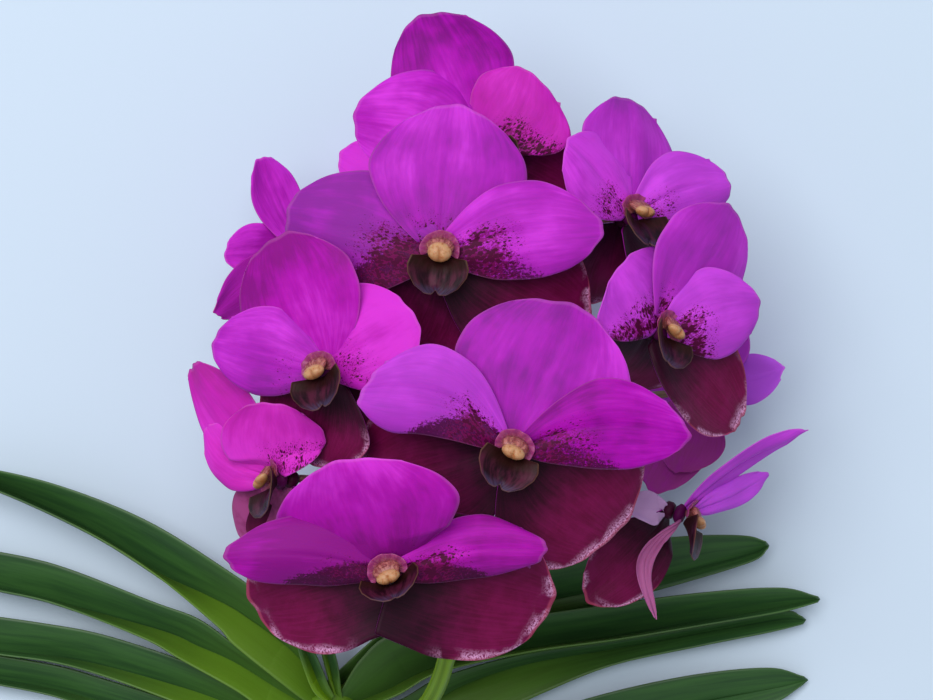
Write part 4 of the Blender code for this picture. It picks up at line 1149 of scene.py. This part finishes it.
LEAF_SKIN = leaf_finish()
share = np.linspace(0, 1, SHOOT_RINGS)
line = smooth_line([seen(*place) for place in SHOOT_LINE], share)
radii = np.interp(share * 3, range(4), SHOOT_RADII)[:, None] + np.zeros((1, SHOOT_AROUND))
points, faces, marks = round_stem(line, radii, SHOOT_AROUND, (0, 0, 1), 1.0, 0.0)
points[:, 2] = np.maximum(points[:, 2], 0.0)
marks[:, 9] = 0.7
shells = [(points, faces, marks)]
for number, (name, lines) in enumerate(LEAVES.items()):
    young = "young" in name
    joint = YOUNG_LEAF_JOINT if young else LEAF_JOINT
    lime = 1.2 if young else LIME_SHARES[name.split("_")[1]]
    seed = number * 3.0
    shells.append(leaf_shell(lines, 0, joint, SHEATH_THICKNESS, lime, seed, rows=SHEATH_ROWS))
    blade = leaf_shell(lines, joint - LEAF_ROOT, 1, LEAF_THICKNESS, lime, seed)
    leaf = make_piece(name + "_skin", [blade], LEAF_SKIN)
    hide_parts(name)
shoot = make_piece("leafy_shoot_skin", shells, LEAF_SKIN)
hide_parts("leafy_shoot")

# The table and the light
# A pale blue table, one broad soft lamp above and to the left, and an even sky.
TABLE_COLOUR = (0.61, 0.71, 0.84, 1.0)
TABLE_HALF = 1.6
TABLE_TOP = -0.0002
SKY_COLOUR = (0.85, 0.95, 1.0, 1.0)
SKY_STRENGTH = 0.47
LAMP_PLACE = (-0.38, 0.72, 1.8)
LAMP_SIZE = 1.3
LAMP_AIM = (0.03, 0.1, 0.06)
LAMP_POWER = 29.5

table = bpy.data.meshes.new("table")
corners = [(-1, -1), (1, -1), (1, 1), (-1, 1)]
table.from_pydata([(x * TABLE_HALF, y * TABLE_HALF, TABLE_TOP) for x, y in corners], [], [(0, 1, 2, 3)])
material, tree, shader = new_finish("table_paint", 0.9)
shader.inputs["Base Color"].default_value = TABLE_COLOUR
table.materials.append(material)
table_object = bpy.data.objects.new("table", table)
bpy.context.scene.collection.objects.link(table_object)

sky = bpy.data.worlds.new("sky")
sky.use_nodes = True
sky.node_tree.nodes["Background"].inputs["Color"].default_value = SKY_COLOUR
sky.node_tree.nodes["Background"].inputs["Strength"].default_value = SKY_STRENGTH
bpy.context.scene.world = sky
lamp_data = bpy.data.lights.new("lamp", "AREA")
lamp_data.size = LAMP_SIZE
lamp_data.energy = LAMP_POWER
lamp = bpy.data.objects.new("lamp", lamp_data)
lamp.location = LAMP_PLACE
aim = np.array(LAMP_AIM) - np.array(LAMP_PLACE)
turn_down = math.acos(-aim[2] / np.linalg.norm(aim))
lamp.rotation_euler = (turn_down, 0.0, math.atan2(aim[1], aim[0]) - math.pi / 2)
bpy.context.scene.collection.objects.link(lamp)
bpy.context.scene.view_settings.view_transform = "Standard"

bpy.context.view_layer.update()
